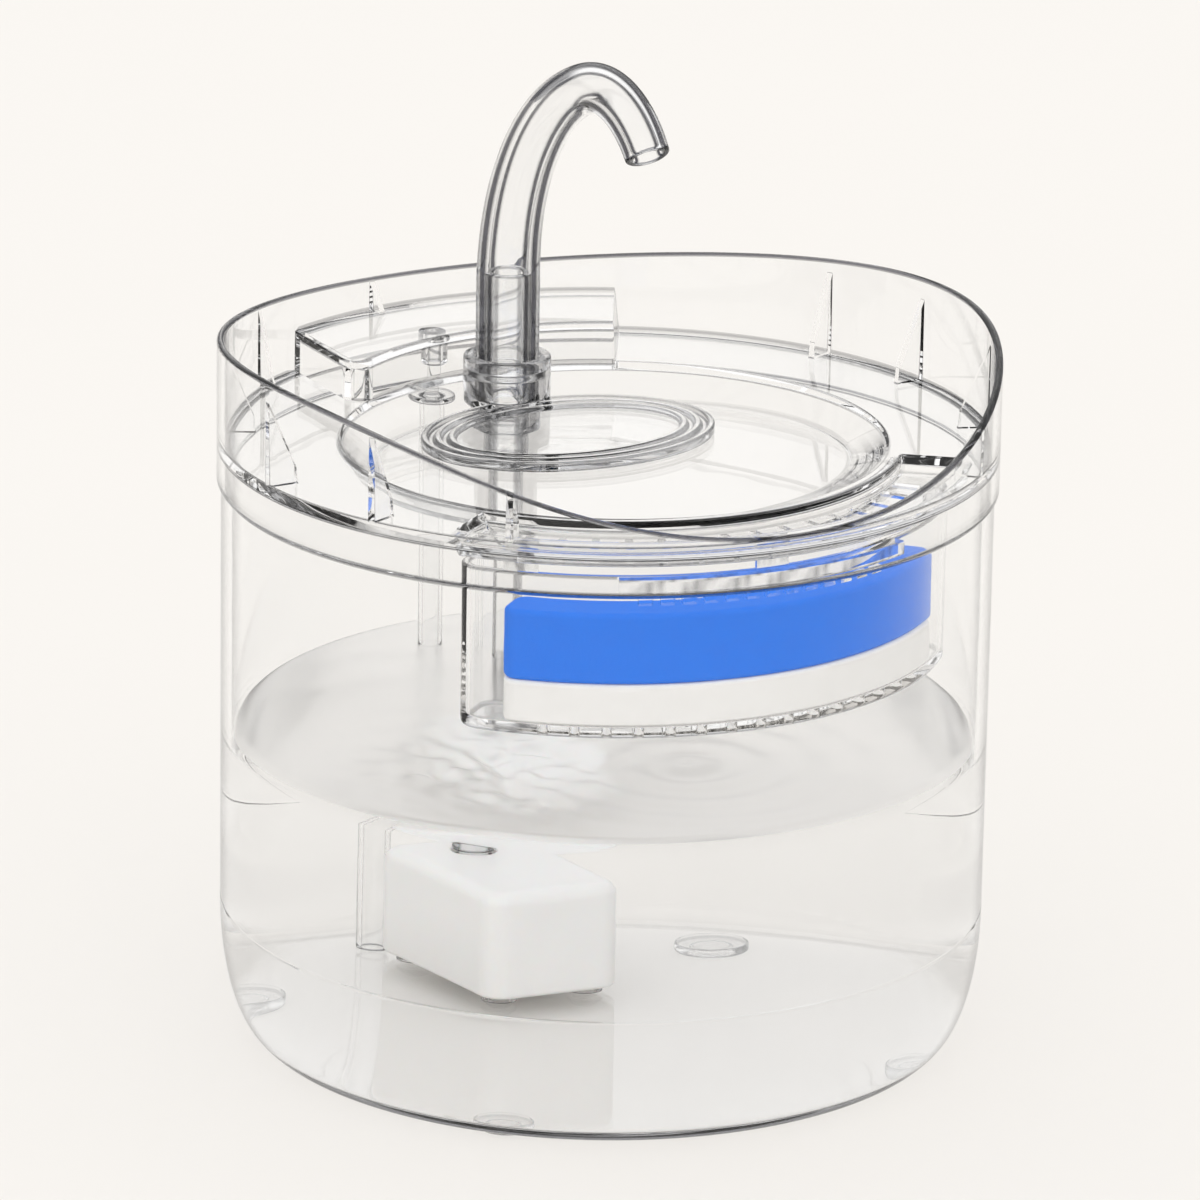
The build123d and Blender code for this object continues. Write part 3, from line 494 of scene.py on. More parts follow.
def tankProfile(shape):
    foot = tankLow.z
    bore, floorZ = tankRadius - shape["wall"], foot + shape["wall"]
    cornerZ = foot + shape["cornerHeight"]
    floorR = shape["floorRadius"]
    shoulder = tankRim - shape["shoulder"]
    neck = tankRadius - shape["neckStep"]
    points = [Vector((0, foot, 0)), Vector((floorR - 0.4 * mm, foot, 0))]
    start, full, fade, end = shape["footPaintedShadeSpan"]
    for k in range(shape["cornerSteps"] + 1):
        t = 0.5 * pi * k / shape["cornerSteps"]
        # painted shade on the tank's bottom corner, below zero so it shows only where seen at a slant
        paintedShade = -smoothStep((t - start) / (full - start)) * (1 - smoothStep((t - fade) / (end - fade)))
        points.append(Vector((mix(floorR, tankRadius, sin(t)), mix(cornerZ, foot, cos(t)), paintedShade)))
    half, low = shape["grooveHalf"], cornerZ + 1.0 * mm
    points += roundedProfile([
        (tankRadius, cornerZ + 0.4 * mm, 0),
        (tankRadius, low - 0.15 * mm, 0),
        (tankRadius, low, 0),
        (tankRadius - shape["grooveDepth"], low + half, 0.25 * mm, 0),
        (tankRadius, low + 2 * half, 0),
        (tankRadius, low + 2 * half + 0.15 * mm, 0),
        (tankRadius, shoulder, 0.5 * mm),
        (neck, shoulder, 0.3 * mm),
        (neck, tankRim, 0.5 * mm),
        (neck - shape["neckWall"], tankRim, 0.5 * mm),
        (bore, cornerZ + 0.4 * mm, 0),
    ])
    for k in range(shape["cornerSteps"] + 1):
        t = 0.5 * pi * (1 - k / shape["cornerSteps"])
        points.append(Vector((mix(floorR, bore, sin(t)), mix(cornerZ, floorZ, cos(t)), 0)))
    return points + [Vector((floorR - 0.4 * mm, floorZ, 0)), Vector((0, floorZ, 0))]


tank = lathe("tankShell", tankProfile(tankShape), tankShape["columns"])
tank.data.materials.append(tankPlastic)
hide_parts("tank")
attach(tank, "tank")
print("tank made")


# tray
trayShape = {
    "wall": 2.4 * mm,
    "skirtWall": 1.8 * mm,
    "seam": tankRim - 8.0 * mm,
    "rimLine": [(-90.0, 11.3), (-50.0, 28.8), (5.0, 35.0), (90.0, 27.4)],    # y and height above the seam
    "dishRadius": 63.0 * mm,
    "dishY": -3.0 * mm,
    "floorHalfX": 57.0 * mm,
    "floorHalfY": 48.0 * mm,
    "floorY": -1.0 * mm,
    "deckRise": 9.6 * mm,
    "deckHalf": 29.0,
    "deckLead": 0.35,
    "deckEase": 0.9,          # degrees over which the deck's +X end rises
    "deckLeft": 43.0 * mm,    # the deck's straight end on the -X side, off the middle
    "deckCorner": 4.0 * mm,
    "gather": 3.0,            # degrees over which the mesh's rows close up to that end
    "channelInner": 68.0 * mm,
    "channelOuter": 82.0 * mm,
    "channelDepth": 3.6 * mm,
    "channelHalf": 52.0,
    "channelEase": 1.4,       # degrees over which the channel begins
    "channelWall": 2.0 * mm,
    "slotCount": 15,
    "slotPitch": 6.0,
    "slotRadius": 72.0 * mm,
    "slotLength": 6.0 * mm,
    "slotWidth": 1.8 * mm,
    "ribAngles": [-168, -140, -116, -87, -64, -42, 43, 69, 96, 116],    # degrees from the front
    "ribDepth": 7.0 * mm,
    "ribStep": 3.8 * mm,
    "ribRise": 19.5 * mm,
    "ribHalf": 0.8 * mm,
    "rimSeat": 86.7 * mm,
    # painted shade: dark lines along the rim's rounded top and along the seam
    "rimPaintedShade": 1.0,
    "seamPaintedShade": 1.0,
}


def naturalSpline(knots):
    # second derivatives of a natural cubic through the knots
    n = len(knots)
    xs, ys = [k[0] for k in knots], [k[1] for k in knots]
    bend, carry = [0.0] * n, [0.0] * n
    for i in range(1, n - 1):
        sig = (xs[i] - xs[i - 1]) / (xs[i + 1] - xs[i - 1])
        q = sig * bend[i - 1] + 2.0
        bend[i] = (sig - 1.0) / q
        slope = (ys[i + 1] - ys[i]) / (xs[i + 1] - xs[i]) - (ys[i] - ys[i - 1]) / (xs[i] - xs[i - 1])
        carry[i] = (6.0 * slope / (xs[i + 1] - xs[i - 1]) - sig * carry[i - 1]) / q
    bend[n - 1] = 0.0
    for i in range(n - 2, -1, -1):
        bend[i] = bend[i] * bend[i + 1] + carry[i]

    def height(x):
        i = 0
        while i < n - 2 and x > xs[i + 1]:
            i += 1
        h = xs[i + 1] - xs[i]
        a, b = (xs[i + 1] - x) / h, (x - xs[i]) / h
        return a * ys[i] + b * ys[i + 1] + ((a ** 3 - a) * bend[i] + (b ** 3 - b) * bend[i + 1]) * h * h / 6
    return height


rimHeight = naturalSpline(trayShape["rimLine"])


def rayToEllipse(angle, centreY, halfX, halfY):
    # distance from the axis to an ellipse, along an angle from the front
    dx, dy = sin(angle), -cos(angle)
    a = (dx / halfX) ** 2 + (dy / halfY) ** 2
    b = -2 * dy * centreY / halfY ** 2
    c = (centreY / halfY) ** 2 - 1
    return (-b + sqrt(b * b - 4 * a * c)) / (2 * a)


def deckCentre(shape):
    # middle of the round corner at the deck's -X end: distance from the axis and angle off the back
    x = shape["deckLeft"] - shape["deckCorner"]
    y = shape["dishY"] + sqrt((shape["dishRadius"] + shape["deckCorner"]) ** 2 - x ** 2)
    return x, y, hypot(x, y), atan2(x, y)


def deckLimits(shape, inset):
    # angles off the back where the straight end meets the skirt, and where the deck ends
    x, y, far, middle = deckCentre(shape)
    bore = trayRadius - shape["skirtWall"] if inset == 0 else shape["rimSeat"]
    return (degreesOf(asin((shape["deckLeft"] - inset) / bore)),
            degreesOf(middle + asin((shape["deckCorner"] - inset) / far)))


def deckSpan(shape, fromBack, inset):
    # where a ray on the -X side, given in degrees off the back, enters and leaves the deck
    x, y, far, middle = deckCentre(shape)
    side, corner = shape["deckLeft"] - inset, shape["deckCorner"] - inset
    circle = shape["dishRadius"] + inset
    t = radians(min(fromBack, deckLimits(shape, inset)[1]))
    along = far * cos(t - middle)
    half = sqrt(max(corner ** 2 - (far * sin(t - middle)) ** 2, 0))
    share = circle / (shape["dishRadius"] + shape["deckCorner"])
    onDish = atan2(x * share, shape["dishY"] + (y - shape["dishY"]) * share)
    inner = along - half if t > onDish else rayToEllipse(pi - t, shape["dishY"], circle, circle)
    outer = along + half if t > atan2(side, y) else side / sin(max(t, radians(1)))
    return inner, outer, t > onDish


def gathered(shape, fromBack, limits, normal, close):
    # radii of a section's rows: normal ones, drawn up to the deck's end near it
    start, end = limits
    share = smoothStep(1 + (fromBack - start) / shape["gather"])
    share = min(share, smoothStep(1 - (fromBack - end) / shape["gather"]))
    return [mix(a, b, share) for a, b in zip(normal, close)]


def trayColumn(shape, degreesFromFront):
    # one radial section of the tray, from the dish's middle over the rim and back under it
    a = radians(degreesFromFront)
    wall, seam = shape["wall"], shape["seam"]
    ledge, under = tankRim + wall, tankRim
    floorR = rayToEllipse(a, shape["floorY"], shape["floorHalfX"], shape["floorHalfY"])
    edgeR = rayToEllipse(a, shape["dishY"], shape["dishRadius"], shape["dishRadius"])
    fromFront, fromBack = abs(degreesFromFront), 180 - abs(degreesFromFront)
    left = degreesFromFront < 0
    channel = smoothStep((shape["channelHalf"] - fromFront) / shape["channelEase"])
    bore = trayRadius - shape["skirtWall"]
    topLimits, hollowLimits = deckLimits(shape, 0), deckLimits(shape, wall)
    if left:
        deck, hollow = float(fromBack < topLimits[1]), float(fromBack < hollowLimits[1])
        full, hollowFull = fromBack < topLimits[0], fromBack < hollowLimits[0]
    else:
        deck = smoothStep((shape["deckHalf"] + shape["deckLead"] - fromBack) / shape["deckEase"])
        hollow, full, hollowFull = deck, deck > 0.5, deck > 0.5
    plateau = mix(ledge, ledge + shape["deckRise"], deck)
    rim = seam + rimHeight(-(trayRadius - shape["skirtWall"] / 2) * cos(a) / mm) * mm
    drop = plateau - shape["channelDepth"] * channel
    base = ledge if left and not full else plateau    # level beside the skirt

    # a rib stands on the ledge or the deck, against the skirt
    rib = 0.0
    for angle in shape["ribAngles"]:
        off = abs(degreesFromFront - angle) * pi / 180 * (bore - shape["ribDepth"] / 2)
        rib = max(rib, smoothStep((shape["ribHalf"] + 0.06 * mm - off) / (0.12 * mm)))
    ribFoot = max(bore - shape["ribDepth"], (shape["channelOuter"] + 0.5 * mm) * (channel > 0))
    ribLow, ribTop = ledge + shape["ribStep"], min(ledge + shape["ribRise"], rim - 0.9 * mm)
    if full:
        ribFoot += shape["ribDepth"] * (plateau - ribLow) / (shape["ribRise"] - shape["ribStep"])
        ribLow = plateau + 0.2 * mm
    junction = (bore, mix(base, max(ribTop, base), rib), 0.3 * mm if rib > 0 else 0.7 * mm)
    headZ = mix(base, ribLow, rib)

    # radii and heights of the rows on the ledge, from the dish's edge to the rib's head
    slotA = shape["slotRadius"] - shape["slotLength"] / 2
    slotB = shape["slotRadius"] + shape["slotLength"] / 2
    reach = [
        mix(edgeR + 1.0 * mm, edgeR + 0.25 * mm, deck),
        shape["channelInner"],
        shape["channelInner"] + 0.3 * mm * (channel <= 0),
        slotA,
        slotB,
        shape["channelOuter"] - 1.6 * mm * (channel <= 0),
        shape["channelOuter"] - 1.2 * mm * (channel <= 0),
        ribFoot,
        ribFoot + 0.3 * mm,
    ]
    heights = [plateau, plateau, drop, drop, drop, drop, plateau, plateau, headZ]
    if left:
        inner, outer, onCorner = deckSpan(shape, fromBack, 0)
        outer = min(outer, bore - 0.08 * mm)
        head = max(ribFoot, mix(outer, bore, 0.8))
        close = [inner + (0 if onCorner else 0.25 * mm), inner + 0.3 * mm, max(outer, inner + 0.32 * mm)]
        close += [close[-1] + 0.01 * mm] + [mix(outer + 0.02 * mm, head, k / 4) for k in (1, 2, 3)]
        reach = gathered(shape, fromBack, topLimits, reach, close + [head, head + 0.3 * (bore - head)])
        if deck and not full:
            heights = [ledge if onCorner else plateau, plateau, plateau] + [ledge] * 5 + [headZ]
    stepped = channel > 0 or full
    bends = [0.6, 0.5, 2.7 if stepped else 0.6, 0, 0, 2.7 if stepped else 0.3, 0.4, 0.3, 0.3]

    # the same for the rows under it, from the skirt back to the dish
    slopeR = floorR + wall + (edgeR - floorR) * (ledge - dishZ) / (ledge - dishZ + wall)
    roof = mix(under, ledge + shape["deckRise"] - wall, hollow)
    cupZ = mix(roof, ledge - shape["channelDepth"] - shape["channelWall"], channel)
    seatR, cup = shape["rimSeat"], shape["channelWall"]
    lowReach = [
        mix(seatR - 0.8 * mm, seatR - 0.02 * mm, hollow),
        shape["channelOuter"] + cup,
        shape["channelOuter"] + (cup if channel > 0 else 1.2 * mm),
        slotB,
        slotA,
        shape["channelInner"] - (cup if channel > 0 else 1.2 * mm),
        shape["channelInner"] - cup,
        mix(slopeR + 1.2 * mm, edgeR + wall + 0.02 * mm, hollow),
        mix(slopeR + 0.6 * mm, edgeR + wall, hollow),
    ]
    lowHeights = [roof, roof, cupZ, cupZ, cupZ, cupZ, roof, roof, under]
    if left:
        inner, outer, onCorner = deckSpan(shape, fromBack, wall)
        outer = max(min(outer, seatR - 0.04 * mm), inner + 0.03 * mm)
        close = [outer, outer - 0.01 * mm]
        close += [mix(outer - 0.01 * mm, inner + 0.02 * mm, k / 6) for k in range(1, 6)]
        lowReach = gathered(shape, fromBack, hollowLimits, lowReach, close + [inner + 0.02 * mm, inner])
        if hollow and not hollowFull:
            lowHeights = [under] + [roof] * 7 + [under]
    lowBends = [0.6, 0.4, 1.2, 0, 0, 1.2, 0.4, 0.6, 0.5]
    return [
        (0, dishZ, 0),
        (floorR * 0.5, dishZ, 0),
        (floorR, dishZ, 2.2 * mm),
        (edgeR, ledge, 0.9 * mm),
        *[(r, z, bend * mm) for r, z, bend in zip(reach, heights, bends)],
        junction,
        # the rim and the seam carry painted shade lines
        (bore, rim, 0.85 * mm, shape["rimPaintedShade"]),
        (trayRadius, rim, 0.85 * mm, shape["rimPaintedShade"]),
        (trayRadius, seam, 0.4 * mm, shape["seamPaintedShade"]),
        (bore, seam, 0.4 * mm),
        (bore, under, 0.3 * mm),
        (seatR, under, 0.3 * mm),
        *[(r, z, bend * mm) for r, z, bend in zip(lowReach, lowHeights, lowBends)],
        (slopeR, under, 0.8 * mm),
        (floorR + wall, dishZ - wall, 2.2 * mm),
        (floorR * 0.5, dishZ - wall, 0),
        (0, dishZ - wall, 0),
    ]


def trayAngles(shape):
    # section angles: even steps, with close ones wherever the shape changes
    bore = trayRadius - shape["skirtWall"]
    special = []
    for angle in shape["ribAngles"]:
        for off in (-0.9, -0.86, -0.8, -0.74, 0, 0.74, 0.8, 0.86, 0.9):
            special.append(angle + degreesOf(off * mm / (bore - shape["ribDepth"] / 2)))
    for side in (-1, 1):
        special += [side * (shape["channelHalf"] - k * shape["channelEase"] / 8) for k in range(9)]
    rise = 180 - shape["deckHalf"] - shape["deckLead"]
    special += [rise + k * shape["deckEase"] / 8 for k in range(9)]
    far, middle = deckCentre(shape)[2:]
    for inset in (0, shape["wall"]):
        start, end = deckLimits(shape, inset)
        special += [start - 180 + off for off in (-0.6, -0.2, -0.02, 0.02, 0.2, 0.6)]
        special.append(end - 180 + 0.02)
        for k in range(-6, 9):
            turn = asin((shape["deckCorner"] - inset) / far * sin(pi / 2 * k / 8))
            special.append(degreesOf(middle + turn) - 180 - 0.001)
        special += [k / 3 - 180 for k in range(3 * int(start - 3), 3 * int(end + 3))]
    for middle, half in drainSlots(shape):
        special += [middle - half, middle + half]
    kept = spaced(set(round(angle, 5) for angle in special), 0.015)
    even = [-180 + 1.25 * k for k in range(288)]
    return sorted(kept + [angle for angle in even if min(abs(angle - k) for k in kept) > 0.22])


def drainSlots(shape):
    # middle and half width of each slot, in degrees
    half = degreesOf(shape["slotWidth"] / 2 / shape["slotRadius"])
    return [(middle, half) for middle in rowOf(shape["slotCount"], shape["slotPitch"])]


def slotColumns(shape, angles):
    # the strips between sections that lie inside a drain slot
    strips = set()
    for middle, half in drainSlots(shape):
        for j in range(len(angles) - 1):
            if abs((angles[j] + angles[j + 1]) / 2 - middle) < half:
                strips.add(j)
    return strips


def makeTray(shape):
    angles = trayAngles(shape)
    verts, paintedLineShades, rows, marks = [], [], None, []
    for angle in angles:
        corners = trayColumn(shape, angle)
        profile = roundedProfile(corners, 3, 0.08 * mm, fixed=True)
        if rows is None:
            rows = len(profile)
            last = len(corners) - 1
            single = [i for i, c in enumerate(corners) if c[2] <= 0 and 0 < i < last]
            sizes = [1 if c[2] <= 0 or i in (0, last) else 6 for i, c in enumerate(corners)]
            marks = [sum(sizes[:k]) for k in single]
        assert len(profile) == rows
        a = radians(angle)
        verts += [(p.x * sin(a), -p.x * cos(a), p.y) for p in profile]
        paintedLineShades += [p.z for p in profile]
    topA, topB, lowB, lowA = marks[1], marks[2], marks[3], marks[4]
    strips = slotColumns(shape, angles)
    faces = []
    count = len(angles)
    for j in range(count):
        a, b = j * rows, ((j + 1) % count) * rows
        for i in range(rows - 1):
            if j in strips and (topA <= i < topB or lowB <= i < lowA):
                continue
            faces.append((a + i, b + i, b + i + 1, a + i + 1))
    for j in strips:
        a, b = j * rows, (j + 1) * rows
        faces.append((a + topA, b + topA, b + lowA, a + lowA))
        faces.append((a + topB, a + lowB, b + lowB, b + topB))
        if j - 1 not in strips:
            faces.append((a + topA, a + lowA, a + lowB, a + topB))
        if j + 1 not in strips:
            faces.append((b + topA, b + topB, b + lowB, b + lowA))
    return meshFromFaces("trayShell", verts, faces, 32, paintedLineShades)


tray = makeTray(trayShape)
print("tray made:", len(tray.data.polygons), "faces")

collarShape = {
    "radius": 10.35 * mm,
    "height": 12.0 * mm,
    "bore": 7.6 * mm,
    "seat": 1.6 * mm,
    "grooveRise": 5.6 * mm,    # the seal's groove, above the seat
    "grooveHeight": 1.9 * mm,
    "grooveRadius": 9.1 * mm,
    "bossRadius": 8.0 * mm,
    "bossLength": 6.0 * mm,
    "spigotBore": 5.34 * mm,
    "pinX": -12.5 * mm,
    "pinY": 66.0 * mm,
    "pinBore": 1.62 * mm,
    "pinBoss": 3.22 * mm,
    "sunk": 0.15 * mm,
}


def makeCollar(shape):
    # the collar on the dish floor, the boss under it and the boss that takes the post's pin
    top, sunk = dishZ + shape["height"], shape["sunk"]
    under = dishZ - trayShape["wall"]
    groove = dishZ + (shape["seat"] + shape["grooveRise"])
    collar = turned("spoutCollar", [
        (shape["radius"], dishZ - sunk, 0),
        (shape["radius"], top, 0.7 * mm),
        (shape["bore"], top, 0.5 * mm),
        (shape["bore"], groove + shape["grooveHeight"], 0),
        (shape["grooveRadius"], groove + shape["grooveHeight"], 0.2 * mm),
        (shape["grooveRadius"], groove, 0.2 * mm),
        (shape["bore"], groove, 0),
        (shape["bore"], dishZ + shape["seat"], 0.3 * mm),
        (shape["spigotBore"], dishZ + shape["seat"], 0),
        (shape["spigotBore"], dishZ - sunk, 0),
    ], (spoutX, spoutY), 96, 4, True)
    boss = turned("spigotBoss", [
        (shape["bossRadius"], under + sunk, 0),
        (shape["bossRadius"], under - shape["bossLength"], 0.6 * mm),
        (shape["spigotBore"], under - shape["bossLength"], 0.3 * mm),
        (shape["spigotBore"], under + sunk, 0),
    ], (spoutX, spoutY), 96, 4, True)
    roof = tankRim + trayShape["deckRise"]
    pin = turned("pinBoss", [
        (shape["pinBoss"], roof + sunk, 0),
        (shape["pinBoss"], roof - shape["bossLength"], 0.5 * mm),
        (shape["pinBore"], roof - shape["bossLength"], 0.2 * mm),
        (shape["pinBore"], roof + sunk, 0),
    ], (shape["pinX"], shape["pinY"]), 48, 4, True)
    for piece in (collar, boss, pin):
        piece.data.materials.append(tubePlastic)
    return [collar, boss, pin]


def joinPieces(target, others):
    for piece in [target] + others:
        piece.select_set(True)
    bpy.context.view_layer.objects.active = target
    with bpy.context.temp_override(active_object=target, selected_editable_objects=[target] + others,
                                   selected_objects=[target] + others):
        bpy.ops.object.join()
    target.select_set(False)
    return target


tray.data.materials.append(trayPlastic)
joinPieces(tray, makeCollar(collarShape))
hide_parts("tray")
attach(tray, "tray")


# spout and the tubes under it
spoutShape = {
    "foot": spoutLow.z,
    "straight": 29.0 * mm,
    "firstRadius": 58.0 * mm,
    "firstAngle": 68.0,
    "secondRadius": 27.3 * mm,
    "secondAngle": 74.0,
    "footRadius": 7.5 * mm,
    "tipRadius": 5.2 * mm,
    "footBore": 4.75 * mm,
    "tipBore": 3.3 * mm,
    "socketBore": 5.4 * mm,
    "socketDepth": 30.8 * mm,
    "rounding": 0.7 * mm,
    "ringSteps": 64,
    "bendSteps": 88,
}


def spoutPath(shape):
    # (y, z, turn, share of the bend) from the foot to the tip
    places = [(spoutY, shape["foot"] + shape["straight"] * k / 10, 0.0, 0.0) for k in range(10)]
    first, second = radians(shape["firstAngle"]), radians(shape["secondAngle"])
    reach = shape["firstRadius"] * first + shape["secondRadius"] * second
    startZ = shape["foot"] + shape["straight"]
    kneeY = spoutY - shape["firstRadius"] * (1 - cos(first))
    kneeZ = startZ + shape["firstRadius"] * sin(first)
    for k in range(shape["bendSteps"] + 1):
        s = reach * k / shape["bendSteps"]
        if s <= shape["firstRadius"] * first:
            t = s / shape["firstRadius"]
            y = spoutY - shape["firstRadius"] * (1 - cos(t))
            z = startZ + shape["firstRadius"] * sin(t)
        else:
            t = first + (s - shape["firstRadius"] * first) / shape["secondRadius"]
            y = kneeY - shape["secondRadius"] * (cos(first) - cos(t))
            z = kneeZ + shape["secondRadius"] * (sin(t) - sin(first))
        places.append((y, z, t, k / shape["bendSteps"]))
    return places


def makeSpout(shape):
    places = spoutPath(shape)
    rounding = shape["rounding"]
    rings = []    # (y, z, turn, radius)

    def footRing(radius, rise):
        y, z, t, share = places[0]
        return (y, z + rise, t, radius)

    def outer(place):
        y, z, t, share = place
        return (y, z, t, mix(shape["footRadius"], shape["tipRadius"], share))

    def inner(place):
        y, z, t, share = place
        return (y, z, t, mix(shape["footBore"], shape["tipBore"], share))

    base = shape["footRadius"]
    for k in range(5):
        t = 0.5 * pi * k / 4
        rings.append(footRing(base - rounding * (1 - sin(t)), rounding * (1 - cos(t))))
    rings += [outer(place) for place in places[1:-1]]
    tip = places[-1]
    direction = Vector((0, -sin(tip[2]), cos(tip[2])))

    def tipRing(radius, back):
        return (tip[0] - direction.y * back, tip[1] - direction.z * back, tip[2], radius)

    rings.append(tipRing(shape["tipRadius"] + 0.02 * mm, rounding * 1.2))
    for k in range(7):
        t = 0.5 * pi * k / 6
        rings.append(tipRing(shape["tipRadius"] - rounding * (1 - cos(t)), rounding * (1 - sin(t))))
    for k in range(5):
        t = 0.5 * pi * k / 4
        rings.append(tipRing(shape["tipBore"] + 0.5 * mm * (1 - sin(t)), 0.5 * mm * (1 - cos(t))))
    socketTop = shape["foot"] + shape["socketDepth"]
    bore = [inner(place) for place in reversed(places[:-1])]
    rings += [ring for ring in bore if ring[2] > 0 and ring[1] > socketTop + 0.4 * mm]
    rings.append((spoutY - 0.01 * mm, socketTop + 0.3 * mm, 0.0, shape["footBore"]))
    rings.append((spoutY, socketTop, 0.0, shape["footBore"] + 0.02 * mm))
    rings.append((spoutY, socketTop, 0.0, shape["socketBore"]))
    rings += [(spoutY, socketTop - step * mm, 0.0, shape["socketBore"]) for step in (0.2, 10, 20, 30)]
    rings.append(footRing(shape["socketBore"] + 0.1 * mm, 0.1 * mm))
    rings.append(footRing(shape["socketBore"] + 0.3 * mm, 0.0))
    verts = []
    for i in range(shape["ringSteps"]):
        a = 2 * pi * i / shape["ringSteps"]
        for y, z, t, radius in rings:
            off = radius * sin(a)
            verts.append((spoutX + radius * cos(a), y + off * cos(t), z + off * sin(t)))
    tube = meshFromFaces("spoutTube", verts, gridFaces(shape["ringSteps"], len(rings), True, True))
    # the tube's axis, which places the material's painted shade bands
    axes = tube.data.attributes.new("axis", "FLOAT_VECTOR", "POINT")
    bend = places[10:]
    for vertex, axis in zip(tube.data.vertices, axes.data):
        near = min(bend, key=lambda place: hypot(vertex.co.y - place[0], vertex.co.z - place[1]))
        turn = near[2] if vertex.co.z > places[9][1] or vertex.co.y < spoutY - shape["footRadius"] else 0.0
        axis.vector = (0, -sin(turn), cos(turn))
    return tube


spout = makeSpout(spoutShape)
spout.data.materials.append(spoutPlastic)
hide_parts("spout")
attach(spout, "spout")

tubeShape = {"spigotBore": 3.4 * mm, "socket": 9.0 * mm, "riserRadius": 4.1 * mm, "riserBore": 2.9 * mm}
spigot = turned("spigotTube", [
    (spigotHigh.x - spoutX, spigotLow.z, 0.3 * mm),
    (spigotHigh.x - spoutX, spigotHigh.z, 0.5 * mm),
    (tubeShape["spigotBore"], spigotHigh.z, 0.4 * mm),
    (tubeShape["spigotBore"], spigotLow.z + tubeShape["socket"], 0.1 * mm),
    (tubeShape["riserRadius"] + 0.02 * mm, spigotLow.z + tubeShape["socket"], 0.1 * mm),
    (tubeShape["riserRadius"] + 0.02 * mm, spigotLow.z, 0.3 * mm),
], (spoutX, spoutY), 72, 4, True)
riser = turned("riserTube", [
    (tubeShape["riserRadius"], riserLow.z, 0.3 * mm),
    (tubeShape["riserRadius"], riserHigh.z, 0.3 * mm),
    (tubeShape["riserBore"], riserHigh.z, 0.3 * mm),
    (tubeShape["riserBore"], riserLow.z, 0.3 * mm),
], (spoutX, spoutY), 64, 4, True)
for piece, node in ((spigot, "spigot"), (riser, "riser")):
    piece.data.materials.append(tubePlastic)
    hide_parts(node)
    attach(piece, "tray")
print("spout and tubes made")


# seal, post and spreader
def ringMesh(name, middle, z, radius, centre, columns=72, steps=16):
    turns = [2 * pi * k / steps for k in range(steps)]
    profile = [(middle + radius * cos(t), z + radius * sin(t)) for t in turns]
    verts = []
    for j in range(columns):
        t = 2 * pi * j / columns
        verts += [(centre[0] + r * cos(t), centre[1] + r * sin(t), h) for r, h in profile]
    return meshFromFaces(name, verts, gridFaces(columns, steps, True, True))


sealRadius = (sealHigh.z - sealLow.z) / 2
seal = ringMesh("spoutSeal", sealHigh.x - spoutX - sealRadius, (sealLow.z + sealHigh.z) / 2, sealRadius,
                (spoutX, spoutY))
seal.data.materials.append(siliconeRubber)
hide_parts("spout_seal")
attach(seal, "spout_seal")

postShape = {
    "tube": 2.9 * mm,
    "bore": 2.0 * mm,
    "pin": 1.6 * mm,
    "flange": postHigh.x - (postLow.x + postHigh.x) / 2,
    "flangeTop": tankRim + 2.4 * mm - 8.0 * mm,
    "flangeDepth": 1.6 * mm,
}


def makePost(shape):
    top, under = shape["flangeTop"], shape["flangeTop"] - shape["flangeDepth"]
    return turned("supportPost", [
        (0, postHigh.z, 0),
        (shape["pin"], postHigh.z, 0.5 * mm),
        (shape["pin"], top, 0.3 * mm),
        (shape["flange"], top, 0.5 * mm),
        (shape["flange"], under, 0.5 * mm),
        (shape["tube"], under, 0.4 * mm),
        (shape["tube"], postLow.z, 0.3 * mm),
        (shape["bore"], postLow.z, 0.3 * mm),
        (shape["bore"], under, 0.5 * mm),
        (0, under, 0),
    ], ((postLow.x + postHigh.x) / 2, (postLow.y + postHigh.y) / 2), 64, 4)


post = makePost(postShape)
post.data.materials.append(postPlastic)
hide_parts("support_post")
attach(post, "tray")


def applyModifiers(piece):
    # turns what the modifiers make into the piece's own mesh
    bpy.context.view_layer.update()
    seen = piece.evaluated_get(bpy.context.evaluated_depsgraph_get())
    mesh = bpy.data.meshes.new_from_object(seen)
    piece.modifiers.clear()
    piece.data = mesh
    return piece


def combine(piece, other, operation):
    # exact boolean of two closed meshes, the other one used up
    tool = piece.modifiers.new("combine", "BOOLEAN")
    tool.operation = operation
    tool.solver = "EXACT"
    tool.object = other
    applyModifiers(piece)
    bpy.data.objects.remove(other)
    return piece


def refinish(piece, sharpAngle=34):
    mesh = piece.data
    shape = bmesh.new()
    shape.from_mesh(mesh)
    bmesh.ops.remove_doubles(shape, verts=shape.verts, dist=2e-7)
    bmesh.ops.dissolve_degenerate(shape, edges=shape.edges, dist=1e-7)
    shape.to_mesh(mesh)
    shape.free()
    mesh.polygons.foreach_set("use_smooth", [True] * len(mesh.polygons))
    mesh.set_sharp_from_angle(angle=radians(sharpAngle))
    return piece


plateShape = {
    "halfX": 36.0 * mm,
    "halfY": 26.0 * mm,
    "middleY": plateLow.y + 26.0 * mm,
    "plate": 1.4 * mm,
    "ridge": 2.4 * mm,
    "ridgeWidth": 1.6 * mm,
    "ridgePitch": 3.2 * mm,
    "ridgeCount": 3,
    "notch": 10.65 * mm,
    "lift": 0.08 * mm,    # off the dish's floor
    "columns": 160,
}


